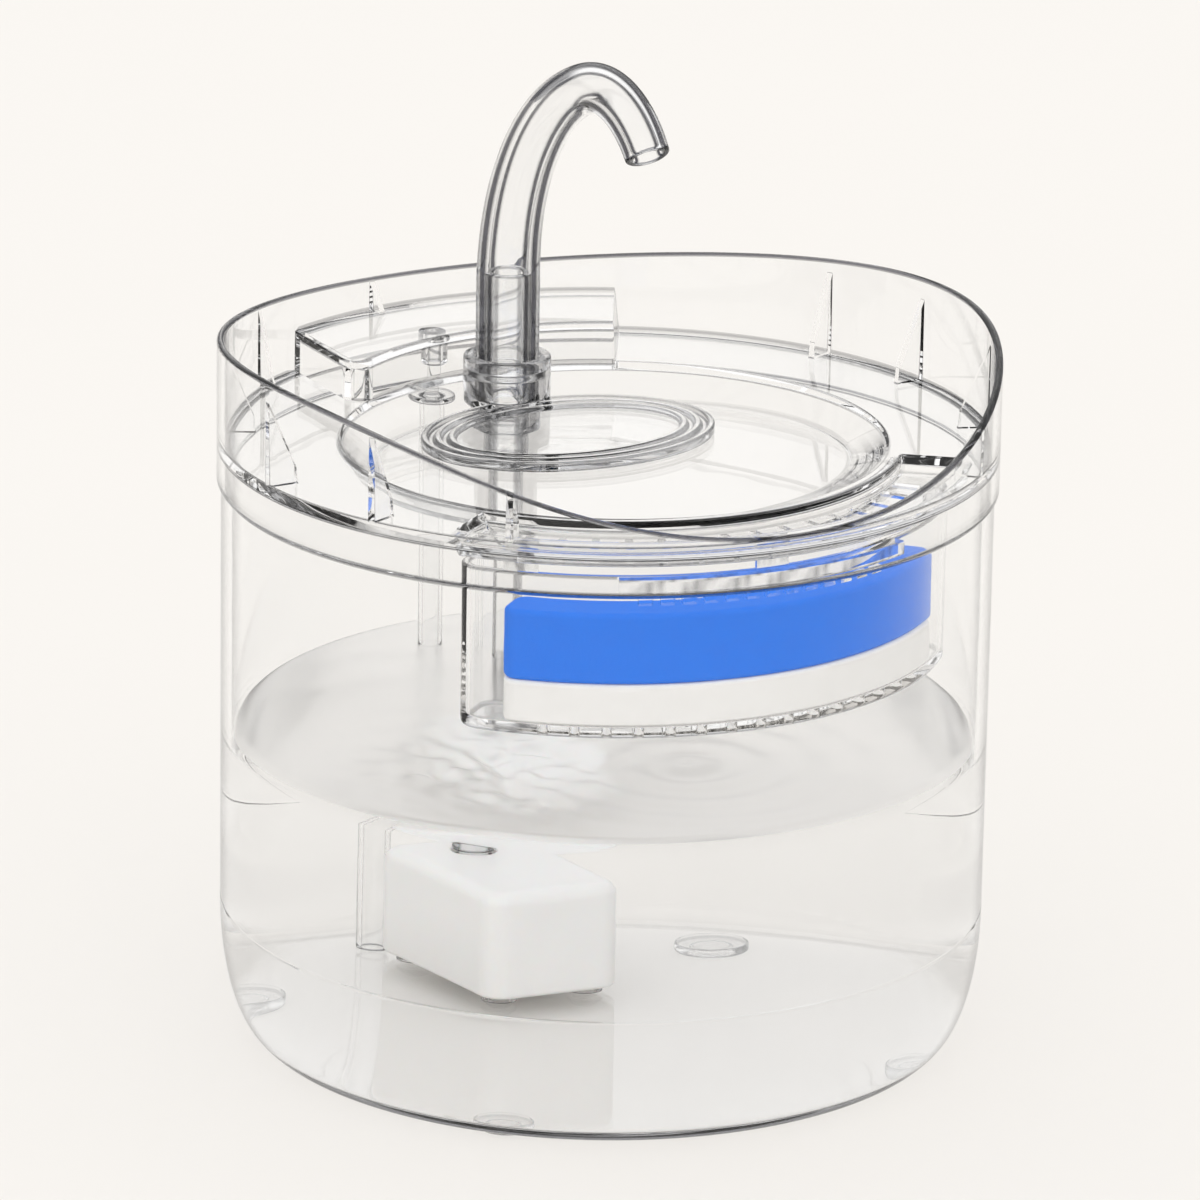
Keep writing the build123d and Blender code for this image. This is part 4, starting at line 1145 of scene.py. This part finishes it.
def makePlate(shape):
    low = plateLow.z + shape["lift"]
    top, ridge = plateLow.z + shape["plate"], plateLow.z + shape["ridge"]
    corners = [(shape["halfY"], low, 0), (0, low, 0.3 * mm)]    # (inset from the edge, z, radius)
    for i in range(shape["ridgeCount"]):
        start = i * shape["ridgePitch"]
        corners += [
            (start, ridge, 0.5 * mm),
            (start + shape["ridgeWidth"], ridge, 0.5 * mm),
            (start + shape["ridgeWidth"] + 0.1 * mm, top, 0.5 * mm),
        ]
        if i < shape["ridgeCount"] - 1:
            corners.append((start + shape["ridgePitch"] - 0.1 * mm, top, 0.5 * mm))
    corners.append((shape["halfY"], top, 0))
    profile = roundedProfile(corners, 4)
    verts = []
    for j in range(shape["columns"]):
        t = 2 * pi * j / shape["columns"]
        for p in profile:
            inset = min(p.x, shape["halfY"] - 0.01 * mm)
            x, y = (shape["halfX"] - inset) * cos(t), (shape["halfY"] - inset) * sin(t)
            verts.append((x, shape["middleY"] + y, p.y))
    faces = gridFaces(shape["columns"], len(profile))
    last = len(profile) - 1
    faces.append([j * len(profile) for j in range(shape["columns"])])
    faces.append([j * len(profile) + last for j in range(shape["columns"])])
    plate = meshFromFaces("spreaderPlate", verts, faces, paintedLineShades=[p.z for p in profile] * shape["columns"])
    cutter = turned("plateNotch", [
        (0, low - 2 * mm, 0),
        (shape["notch"], low - 2 * mm, 0),
        (shape["notch"], ridge + 2 * mm, 0),
        (0, ridge + 2 * mm, 0),
    ], (spoutX, spoutY), 96)
    return refinish(combine(plate, cutter, "DIFFERENCE"))


plate = makePlate(plateShape)
plate.data.materials.append(platePlastic)
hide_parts("spreader")
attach(plate, "tray")
print("seal, post and spreader made")


# filter box and the two filters in it
boxShape = {
    "arc": 79.0 * mm,
    "depth": 16.0 * mm,
    "half": 53.5,            # degrees to either end
    "padHalf": 47.5,
    "corner": 6.0 * mm,
    "wall": 2.0 * mm,
    "height": 38.0 * mm,
    "lipReach": 2.5 * mm,
    "lipHeight": 3.4 * mm,
    # painted shade: the whole lip drawn as a dark line
    "lipPaintedShade": 0.8,
    "lipHalf": 26.0,
    "lugs": [-42, 0, 42],    # degrees from the front
    "lugWidth": 8.0 * mm,
    "windowWidth": 3.2 * mm,
    "windowHeight": 1.6 * mm,
    "windowDrop": 6.0 * mm,
    "windowPitch": 3.6,
    "windowCount": 13,
    "slotLength": 7.0 * mm,
    "slotWidth": 2.4 * mm,
    "slotPitch": 5.5,
    "slotCount": 15,
    "arcSteps": 96,
    "cornerSteps": 10,
}
foamShape = {"inset": 2.4 * mm, "edge": 1.3 * mm, "uneven": 0.16 * mm, "unevenSize": 140.0, "rise": 12}
fibreShape = {"inset": 2.4 * mm, "edge": 1.8 * mm, "uneven": 0.32 * mm, "unevenSize": 90.0, "rise": 10}


def fromAxis(radius, angle):
    return Vector((radius * sin(angle), -radius * cos(angle)))


def boxOutline(shape, inset):
    # the box's plan, from the middle of its -X end along the outer arc and back along the inner one
    corner, end = shape["corner"], radians(shape["half"])
    quarters = []
    for radius, sign in ((shape["arc"], 1), (shape["arc"] - shape["depth"], -1)):
        centreR = radius - sign * corner
        tangent = end - asin(corner / centreR)
        centre = fromAxis(centreR, tangent)
        quarter = [fromAxis(radius - sign * inset, tangent * k / (shape["arcSteps"] // 2))
                   for k in range(shape["arcSteps"] // 2 + 1)]
        first, last = tangent if sign > 0 else tangent + pi, end + pi / 2
        for k in range(1, shape["cornerSteps"] + 1):
            quarter.append(centre + fromAxis(corner - inset, mix(first, last, k / shape["cornerSteps"])))
        quarters.append(quarter)
    middle = fromAxis(shape["arc"] - shape["depth"] / 2, end) - fromAxis(inset, end + pi / 2)
    outer, inner = quarters
    right = outer[1:] + [middle] + inner[:0:-1]
    left = [Vector((-p.x, p.y)) for p in right]
    half = len(outer) - 1
    return [left[half]] + left[:half][::-1] + [outer[0]] + right + [inner[0]] + left[:half:-1]


def ladderFaces(columns, rows, row, flip=False):
    # closes a mirrored outline with strips from each point to its mirror point
    faces = []
    for k in range(columns // 2):
        a, b = k, k + 1
        c, d = (columns - k - 1) % columns, (columns - k) % columns
        face = [a * rows + row, b * rows + row, c * rows + row, d * rows + row]
        face = [v for i, v in enumerate(face) if v not in face[:i]]
        faces.append(face[::-1] if flip else face)
    return faces


def boxSolid(name, shape, corners, steps=4):
    # walls that follow the box's outline, given as (inset, z, radius) corners, closed at both ends
    profile = roundedProfile(corners, steps)
    outlines = [boxOutline(shape, p.x) for p in profile]
    columns, rows = len(outlines[0]), len(profile)
    verts = []
    for j in range(columns):
        verts += [(outlines[i][j][0], outlines[i][j][1], profile[i].y) for i in range(rows)]
    faces = gridFaces(columns, rows) + ladderFaces(columns, rows, 0)
    faces += ladderFaces(columns, rows, rows - 1, True)
    return meshFromFaces(name, verts, faces, paintedLineShades=[p.z for p in profile] * columns)


def arcBlock(name, inner, outer, low, high, half, edge, columns, paintedShade=0.0):
    # a block that follows the arc, half as wide as an angle, with rounded long edges; every point gets at
    # least the given painted shade
    profile = roundedProfile([
        (inner, low, 0), (outer, low, edge), (outer, high, edge), (inner, high, 0)], 3, closed=True)
    verts = []
    for j in range(columns + 1):
        t = mix(-half, half, j / columns)
        verts += [(p.x * sin(t), -p.x * cos(t), p.y) for p in profile]
    rows = len(profile)
    faces = gridFaces(columns + 1, rows, False, True)
    faces.append(list(range(rows)))
    faces.append([columns * rows + i for i in range(rows)])
    return meshFromFaces(name, verts, faces, paintedLineShades=[max(p.z, paintedShade) for p in profile] * (columns + 1))


def turnPiece(piece, angle):
    piece.data.transform(Matrix.Rotation(angle, 4, "Z"))
    return piece


# a Geometry Nodes tree that sets copies of one shape on points
def makeScatterTree():
    tree = bpy.data.node_groups.new("copiesOnPoints", "GeometryNodeTree")
    for label, kind in (("Points", "NodeSocketGeometry"), ("Copy", "NodeSocketObject"),
                        ("Size", "NodeSocketFloat"), ("Finish", "NodeSocketMaterial")):
        tree.interface.new_socket(name=label, in_out="INPUT", socket_type=kind)
    tree.interface.new_socket(name="Geometry", in_out="OUTPUT", socket_type="NodeSocketGeometry")
    given, result = tree.nodes.new("NodeGroupInput"), tree.nodes.new("NodeGroupOutput")
    source = tree.nodes.new("GeometryNodeObjectInfo")
    place = tree.nodes.new("GeometryNodeInstanceOnPoints")
    turn = tree.nodes.new("GeometryNodeInputNamedAttribute")
    turn.data_type = "FLOAT_VECTOR"
    turn.inputs["Name"].default_value = "turn"
    real = tree.nodes.new("GeometryNodeRealizeInstances")
    finish = tree.nodes.new("GeometryNodeSetMaterial")
    tree.links.new(given.outputs["Points"], place.inputs["Points"])
    tree.links.new(given.outputs["Copy"], source.inputs["Object"])
    tree.links.new(source.outputs["Geometry"], place.inputs["Instance"])
    tree.links.new(given.outputs["Size"], place.inputs["Scale"])
    tree.links.new(turn.outputs["Attribute"], place.inputs["Rotation"])
    tree.links.new(place.outputs["Instances"], real.inputs["Geometry"])
    tree.links.new(real.outputs["Geometry"], finish.inputs["Geometry"])
    tree.links.new(given.outputs["Finish"], finish.inputs["Material"])
    tree.links.new(finish.outputs["Geometry"], result.inputs["Geometry"])
    return tree


scatterTree = makeScatterTree()


def copiesOnPoints(name, copy, places, finish, size=1.0):
    # places are (point, turn) pairs; the copy is used up
    mesh = bpy.data.meshes.new(name)
    mesh.from_pydata([place for place, turn in places], [], [])
    turns = mesh.attributes.new("turn", "FLOAT_VECTOR", "POINT")
    for item, (place, turn) in zip(turns.data, places):
        item.vector = turn
    piece = bpy.data.objects.new(name, mesh)
    bpy.context.scene.collection.objects.link(piece)
    tool = piece.modifiers.new("copies", "NODES")
    tool.node_group = scatterTree
    items = scatterTree.interface.items_tree
    sockets = {item.name: item.identifier for item in items if item.in_out == "INPUT"}
    tool[sockets["Copy"]] = copy
    tool[sockets["Size"]] = size
    tool[sockets["Finish"]] = finish
    applyModifiers(piece)
    bpy.data.objects.remove(copy)
    return piece


def slotCutter(name, length, width, depth, steps=8):
    # an upright prism with round ends, its length along y, centred on the origin
    outline = []
    for k in range(steps + 1):
        t = pi * k / steps
        outline.append((width / 2 * cos(t), (length - width) / 2 + width / 2 * sin(t)))
    outline += [(-x, -y) for x, y in outline]
    count = len(outline)
    verts = [(x, y, -depth / 2) for x, y in outline] + [(x, y, depth / 2) for x, y in outline]
    faces = [(i, (i + 1) % count, count + (i + 1) % count, count + i) for i in range(count)]
    faces += [list(range(count)), [count + i for i in range(count)]]
    return meshFromFaces(name, verts, faces)


def blockCutter(name, halfX, halfY, halfZ):
    verts = [(x, y, z) for x in (-halfX, halfX) for y in (-halfY, halfY) for z in (-halfZ, halfZ)]
    faces = [(0, 1, 3, 2), (4, 6, 7, 5), (0, 4, 5, 1), (2, 3, 7, 6), (0, 2, 6, 4), (1, 5, 7, 3)]
    return meshFromFaces(name, verts, faces)


def makeFilterBox(shape):
    foot, rim = boxLow.z, boxLow.z + shape["height"]
    wall, arc, low = shape["wall"], shape["arc"], rim - shape["lipHeight"]
    box = boxSolid("filterBoxShell", shape, [
        (5.0 * mm, foot, 0),
        (0, foot, 1.2 * mm),
        (0, rim, 0.6 * mm),
        (wall, rim, 0.5 * mm),
        (wall, foot + wall, 0.9 * mm),
        (5.0 * mm, foot + wall, 0),
    ])
    lip = arcBlock("boxLip", arc - wall / 2, arc + shape["lipReach"], low, rim - 0.05 * mm,
                   radians(shape["lipHalf"]), 0.5 * mm, 56, paintedShade=shape["lipPaintedShade"])
    combine(box, lip, "UNION")
    for angle in shape["lugs"]:
        lug = arcBlock("boxLug", arc - wall + 0.05 * mm, arc - wall / 2, low, boxHigh.z,
                       shape["lugWidth"] / 2 / arc, 0.3 * mm, 8)
        combine(box, turnPiece(lug, radians(angle)), "UNION")
    windows = [((*fromAxis(arc, t), rim - shape["windowDrop"]), (0, 0, t))
               for t in rowOf(shape["windowCount"], radians(shape["windowPitch"]))]
    cutter = blockCutter("windowCutter", shape["windowWidth"] / 2, 3 * wall, shape["windowHeight"] / 2)
    combine(box, copiesOnPoints("windowCutters", cutter, windows, boxPlastic), "DIFFERENCE")
    grate = [((*fromAxis(arc - shape["depth"] / 2, t), foot + wall / 2), (0, 0, t))
             for t in rowOf(shape["slotCount"], radians(shape["slotPitch"]))]
    cutter = slotCutter("grateCutter", shape["slotLength"], shape["slotWidth"], 3 * wall)
    combine(box, copiesOnPoints("grateCutters", cutter, grate, boxPlastic), "DIFFERENCE")
    return refinish(box)


def makeFilterPad(name, shape, pad, low, high):
    # a cut block of filter stuff: soft edges and slightly uneven faces
    middle = pad["inset"] + 2.5 * mm
    corners = [(middle, low, 0), (pad["inset"], low, pad["edge"])]
    for k in range(1, pad["rise"]):
        corners.append((pad["inset"], mix(low, high, k / pad["rise"]), 0))
    corners += [(pad["inset"], high, pad["edge"]), (middle, high, 0)]
    piece = boxSolid(name, {**shape, "half": shape["padHalf"]}, corners, 5)
    for vertex in piece.data.vertices:
        place = vertex.co.copy()
        shift = noise.noise(place * pad["unevenSize"]) * pad["uneven"]
        flat = Vector((vertex.normal.x, vertex.normal.y, 0))
        vertex.co = place + flat * min(shift, 0.25 * mm)
        if low + 0.1 * mm < place.z < high - 0.1 * mm:
            vertex.co.z += shift * 0.4
    return refinish(piece, 60)


filterBox = makeFilterBox(boxShape)
foamPad = makeFilterPad("foamPad", boxShape, foamShape, foamLow.z, foamHigh.z)
fibrePad = makeFilterPad("fibrePad", boxShape, fibreShape, cottonLow.z, cottonHigh.z)
for piece, node, finish, slot in (
    (filterBox, "filter_box", boxPlastic, "clear_plastic"),
    (foamPad, "filter_foam", blueFoam, "blue_foam"),
    (fibrePad, "filter_cotton", whiteFibre, "white_fibre"),
):
    piece.data.materials.clear()
    piece.data.materials.append(finish)
    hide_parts(node)
    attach(piece, "filter_unit")
print("filter box and filters made")


# feet under the tank and cups under the pump
footShape = {"count": 4, "place": 70.0 * mm, "radius": 6.9 * mm, "edge": 0.7 * mm, "dimple": 3.4 * mm,
             "underTank": 0.08 * mm}
cupShape = {"radius": 3.6 * mm, "height": 1.6 * mm, "stem": 1.4 * mm, "stemLength": 2.0 * mm,
            "placeX": 9.5 * mm, "placeY": 16.0 * mm}


def makeTankFeet(shape):
    height = feetHigh.z - feetLow.z - shape["underTank"]
    foot = turned("tankFoot", [
        (0, 0.25 * mm, 0),
        (shape["dimple"], 0.25 * mm, 0.4 * mm),
        (shape["dimple"] + 0.5 * mm, 0, 0.4 * mm),
        (shape["radius"], 0, shape["edge"]),
        (shape["radius"] - 0.15 * mm, height, 0.3 * mm),
        (0, height, 0),
    ], (0, 0), 40, 4)
    places = []
    for i in range(shape["count"]):
        t = pi / 4 + 2 * pi * i / shape["count"]
        places.append(((shape["place"] * cos(t), shape["place"] * sin(t), feetLow.z), (0, 0, 0)))
    return refinish(copiesOnPoints("tankFeet", foot, places, bumperPlastic))


def makePumpCups(shape):
    cup = turned("pumpCup", [
        (0, 0.9 * mm, 0),
        (1.6 * mm, 0.8 * mm, 0.4 * mm),
        (shape["radius"] - 0.2 * mm, 0, 0.1 * mm),
        (shape["radius"], 0.12 * mm, 0.1 * mm),
        (2.3 * mm, shape["height"] - 0.1 * mm, 0.6 * mm),
        (2.0 * mm, shape["height"], 0.1 * mm),
        (shape["stem"], shape["height"], 0.1 * mm),
        (shape["stem"], shape["height"] + shape["stemLength"], 0.3 * mm),
        (0, shape["height"] + shape["stemLength"], 0),
    ], (0, 0), 32, 3)
    places = []
    middle = (casingLow + casingHigh) / 2
    for x in (-shape["placeX"], shape["placeX"]):
        for y in (-shape["placeY"], shape["placeY"]):
            places.append(((middle.x + x, middle.y + y, cupsLow.z), (0, 0, 0)))
    return refinish(copiesOnPoints("pumpCups", cup, places, siliconeRubber))


tankFeet = makeTankFeet(footShape)
pumpCups = makePumpCups(cupShape)
for piece, node, slot in ((tankFeet, "tank_feet", "clear_bumper"), (pumpCups, "pump_feet", "clear_bumper")):
    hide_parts(node)
    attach(piece, "tank")


# pump casing: a soft-edged box, open below, with the nozzle's hole in its top
pumpShape = {"corner": 5.0 * mm, "edge": 3.2 * mm, "lowEdge": 1.2 * mm, "wall": 1.6 * mm, "hole": 4.25 * mm,
             "columns": 176}


def casingPoint(shape, t, inset):
    # where a ray from the nozzle's axis meets the casing's plan, drawn smaller by an inset
    middle = (casingLow + casingHigh) / 2
    halfX = (casingHigh.x - casingLow.x) / 2 - inset
    halfY = (casingHigh.y - casingLow.y) / 2 - inset
    corner = max(shape["corner"] - inset, 0.05 * mm)
    start = Vector((spoutX - middle.x, spoutY - middle.y))
    step = Vector((cos(t), sin(t)))
    low, high = 0.0, 0.1
    for k in range(40):
        reach = (low + high) / 2
        p = start + step * reach
        dx, dy = abs(p.x) - (halfX - corner), abs(p.y) - (halfY - corner)
        outside = hypot(max(dx, 0), max(dy, 0)) + min(max(dx, dy), 0) > corner
        low, high = (low, reach) if outside else (reach, high)
    return start + step * low + Vector((middle.x, middle.y))


def casingAngles(shape):
    # even steps, with more where the plan's corners are
    angles = [2 * pi * k / shape["columns"] for k in range(shape["columns"])]
    middle = (casingLow + casingHigh) / 2
    for sx in (-1, 1):
        for sy in (-1, 1):
            cx = middle.x + sx * ((casingHigh.x - casingLow.x) / 2 - shape["corner"]) - spoutX
            cy = middle.y + sy * ((casingHigh.y - casingLow.y) / 2 - shape["corner"]) - spoutY
            for k in range(13):
                a = atan2(sy, sx) + (k / 12 - 0.5) * pi / 2
                x, y = cx + shape["corner"] * cos(a), cy + shape["corner"] * sin(a)
                angles.append(atan2(y, x) % (2 * pi))
    return spaced(angles, 0.004)


def makeCasing(shape):
    foot, top = casingLow.z, casingHigh.z
    wall, edge = shape["wall"], shape["edge"]
    rings = [("hole", shape["hole"], top - wall), ("hole", shape["hole"], top - 0.3 * mm),
             ("hole", shape["hole"] + 0.3 * mm, top)]
    rings.append(("plan", edge + 1.0 * mm, top))
    for k in range(9):
        t = 0.5 * pi * k / 8
        rings.append(("plan", edge * (1 - sin(t)), top - edge * (1 - cos(t))))
    low = shape["lowEdge"]
    rings.append(("plan", 0, mix(top - edge, foot, 0.5)))
    for k in range(5):
        t = 0.5 * pi * k / 4
        rings.append(("plan", low * (1 - cos(t)), foot + low * (1 - sin(t))))
    rings += [("plan", wall - 0.3 * mm, foot), ("plan", wall, foot + 0.3 * mm),
              ("plan", wall, mix(foot, top, 0.5)), ("plan", wall, top - wall)]
    angles = casingAngles(shape)
    verts = []
    for t in angles:
        for kind, size, z in rings:
            if kind == "hole":
                verts.append((spoutX + size * cos(t), spoutY + size * sin(t), z))
            else:
                p = casingPoint(shape, t, size)
                verts.append((p.x, p.y, z))
    return meshFromFaces("pumpCasing", verts, gridFaces(len(angles), len(rings), True, True), 38)


casing = makeCasing(pumpShape)
casing.data.materials.append(whitePlastic)
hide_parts("pump_casing")
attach(casing, "tank")
print("feet and pump casing made")


# water: fills the tank to the line, with a rounded rim and slow rings on top
waterShape = {
    "level": 76.0 * mm,
    "steep": 0.75,    # faces flatter than this are its foot or its top
    "edge": 3.4 * mm,
    "overlap": 0.25 * mm,
    "ringRise": 0.34 * mm,
    "ringPitch": 12.0 * mm,
    "ringFade": 60.0 * mm,
    "ringX": 2.0 * mm,
    "ringY": -38.0 * mm,
    "chop": 0.28 * mm,
    "chopSize": 70.0,
    "splash": 1.5 * mm,
    "splashSize": 150.0,
    "splashX": -42.0 * mm,
    "splashY": -22.0 * mm,
    "splashReach": 24.0 * mm,
    "columns": 288,
    "rows": 110,
}


def waterTop(shape, x, y):
    far = hypot(x - shape["ringX"], y - shape["ringY"])
    fade = cos(min(far / shape["ringFade"], 1) * pi / 2)
    ring = sin(2 * pi * far / shape["ringPitch"]) * shape["ringRise"] * fade
    chop = noise.noise(Vector((x, y * 1.6, 0)) * shape["chopSize"]) * shape["chop"]
    near = hypot(x - shape["splashX"], y - shape["splashY"]) / shape["splashReach"]
    splash = noise.noise(Vector((x * 1.3, y, 3.7)) * shape["splashSize"]) * shape["splash"]
    return ring + chop + splash * exp(-near * near)


def makeWater(shape):
    inner = tankRadius - tankShape["wall"] + shape["overlap"]
    floorR, cornerZ = tankShape["floorRadius"], tankLow.z + tankShape["cornerHeight"]
    floorZ = tankLow.z + tankShape["wall"] - shape["overlap"]
    flatR = inner - shape["edge"]
    verts = []
    for j in range(shape["columns"]):
        t = 2 * pi * j / shape["columns"]
        for i in range(shape["rows"]):
            r = flatR * i / (shape["rows"] - 1)
            x, y = r * cos(t), r * sin(t)
            calm = smoothStep((flatR - r) / (6 * mm))
            verts.append((x, y, shape["level"] + waterTop(shape, x, y) * calm))
        side = []
        for k in range(1, 9):
            a = 0.5 * pi * k / 8
            side.append((flatR + shape["edge"] * sin(a), shape["level"] - shape["edge"] * (1 - cos(a))))
        side.append((inner, cornerZ + 0.4 * mm))
        for k in range(16):
            a = 0.5 * pi * (1 - k / 15)
            side.append((mix(floorR, inner, sin(a)), mix(cornerZ, floorZ, cos(a))))
        side.append((0, floorZ))
        verts += [(r * cos(t), r * sin(t), z) for r, z in side]
    rows = len(verts) // shape["columns"]
    return meshFromFaces("waterFill", verts, gridFaces(shape["columns"], rows), 80)


water = makeWater(waterShape)
for finish in (waterSurface, waterFoot, waterTopFilm):
    water.data.materials.append(finish)
for face in water.data.polygons:
    if abs(face.normal.z) > waterShape["steep"]:
        face.material_index = 2 if face.normal.z > 0 else 1
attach(water, "tank")
print("water made")


# materials on the pieces that keep their own solids
for node, finish in (
    ("pump_base", whitePlastic), ("intake_sponge", greyFoam), ("volute", whitePlastic),
    ("rotor_well", whitePlastic), ("impeller", whitePlastic), ("impeller_shaft", shaftCeramic),
    ("shaft_bushes", darkRubber), ("rotor_magnet", ferrite), ("stator_core", coreSteel),
    ("coil_bobbin", whitePlastic), ("coil_winding", copperWire), ("cable_gland", paleRubber),
):
    piece = nodes[node]
    piece.data.materials.clear()
    piece.data.materials.append(finish)


# camera, floor and light
view = {
    "azimuth": radians(-28.0),
    "elevation": radians(17.838),
    "distance": 1.8627,
    "height": 0.1043,
    "roll": radians(0.998),
    "lens": 241.72,
    "shiftX": -0.00488,
}


def makeCamera(view):
    az, el, roll = view["azimuth"], view["elevation"], view["roll"]
    right = Vector((cos(az), sin(az), 0))
    back = Vector((sin(az) * cos(el), -cos(az) * cos(el), sin(el)))
    up = back.cross(right)
    side = right * cos(roll) + up * sin(roll)
    top = up * cos(roll) - right * sin(roll)
    place = Vector((0, 0, view["height"])) + back * view["distance"]
    lens = bpy.data.cameras.new("camera")
    lens.sensor_width = 36.0
    lens.lens = view["lens"]
    lens.shift_x = view["shiftX"]
    lens.clip_end = 20.0
    camera = bpy.data.objects.new("camera", lens)
    turn = Matrix((side, top, back)).transposed().to_4x4()
    camera.matrix_world = Matrix.Translation(place) @ turn
    bpy.context.scene.collection.objects.link(camera)
    bpy.context.scene.camera = camera
    return camera


camera = makeCamera(view)

floorLook = {
    "half": 4.0,
    "below": 0.1 * mm,    # under the feet
    "colour": (0.80, 0.778, 0.746, 1),
    "mottle": (0.787, 0.765, 0.733, 1),
}


def makeFloor(look):
    half, z = look["half"], -look["below"]
    mesh = bpy.data.meshes.new("floor")
    corners = [(-half, -half, z), (half, -half, z), (half, half, z), (-half, half, z)]
    mesh.from_pydata(corners, [], [(0, 1, 2, 3)])
    floor = bpy.data.objects.new("floor", mesh)
    bpy.context.scene.collection.objects.link(floor)
    floor.data.materials.append(opaqueFinish("paleFloor", {
        "colour": look["colour"], "mottle": look["mottle"], "mottleSize": 3.0, "grainSize": 300.0,
        "grainDepth": 0.0, "roughness": 0.75, "roughnessSpread": 0.05,
    }))
    return floor


floor = makeFloor(floorLook)

light = {
    "horizon": (0.30, 0.30, 0.31),
    "top": (1.08, 1.075, 1.07),
    "lowSine": 0.08,
    "highSine": 0.28,
    "front": (-0.469, -0.883),    # a softbox on this side
    "frontStart": 0.30,
    "frontFull": 0.85,
    "frontGlow": 1.0,
}


def makeWorld(light):
    world = bpy.data.worlds.new("studio")
    bpy.context.scene.world = world
    world.use_nodes = True
    tree = world.node_tree
    tree.nodes.clear()
    place = addNode(tree, "ShaderNodeTexCoord")
    parts = addNode(tree, "ShaderNodeSeparateXYZ")
    link(tree, place.outputs["Generated"], parts.inputs["Vector"])
    rise = ramp(tree, parts.outputs["Z"], light["lowSine"], light["highSine"], 0.0, 1.0)
    blend = addNode(tree, "ShaderNodeMix", data_type="RGBA", clamp_result=False)
    link(tree, rise, blend.inputs["Factor"])
    blend.inputs["A"].default_value = (*light["horizon"], 1)
    blend.inputs["B"].default_value = (*light["top"], 1)
    along = mathNode(tree, "MULTIPLY", parts.outputs["X"], light["front"][0])
    along = mathNode(tree, "ADD", along, mathNode(tree, "MULTIPLY", parts.outputs["Y"], light["front"][1]))
    front = ramp(tree, along, light["frontStart"], light["frontFull"], 0.0, 1.0)
    softbox = mathNode(tree, "MULTIPLY", front, rise)
    strength = mathNode(tree, "ADD", mathNode(tree, "MULTIPLY", softbox, light["frontGlow"]), 1.0)
    glow = addNode(tree, "ShaderNodeBackground")
    link(tree, blend.outputs["Result"], glow.inputs["Color"])
    link(tree, strength, glow.inputs["Strength"])
    output = addNode(tree, "ShaderNodeOutputWorld")
    link(tree, glow.outputs["Background"], output.inputs["Surface"])


makeWorld(light)
scene = bpy.context.scene
scene.view_settings.view_transform = "Standard"
scene.view_settings.look = "None"
scene.cycles.max_bounces = 32
scene.cycles.transmission_bounces = 28
scene.cycles.glossy_bounces = 12
scene.cycles.transparent_max_bounces = 48
print("camera, floor and light made")
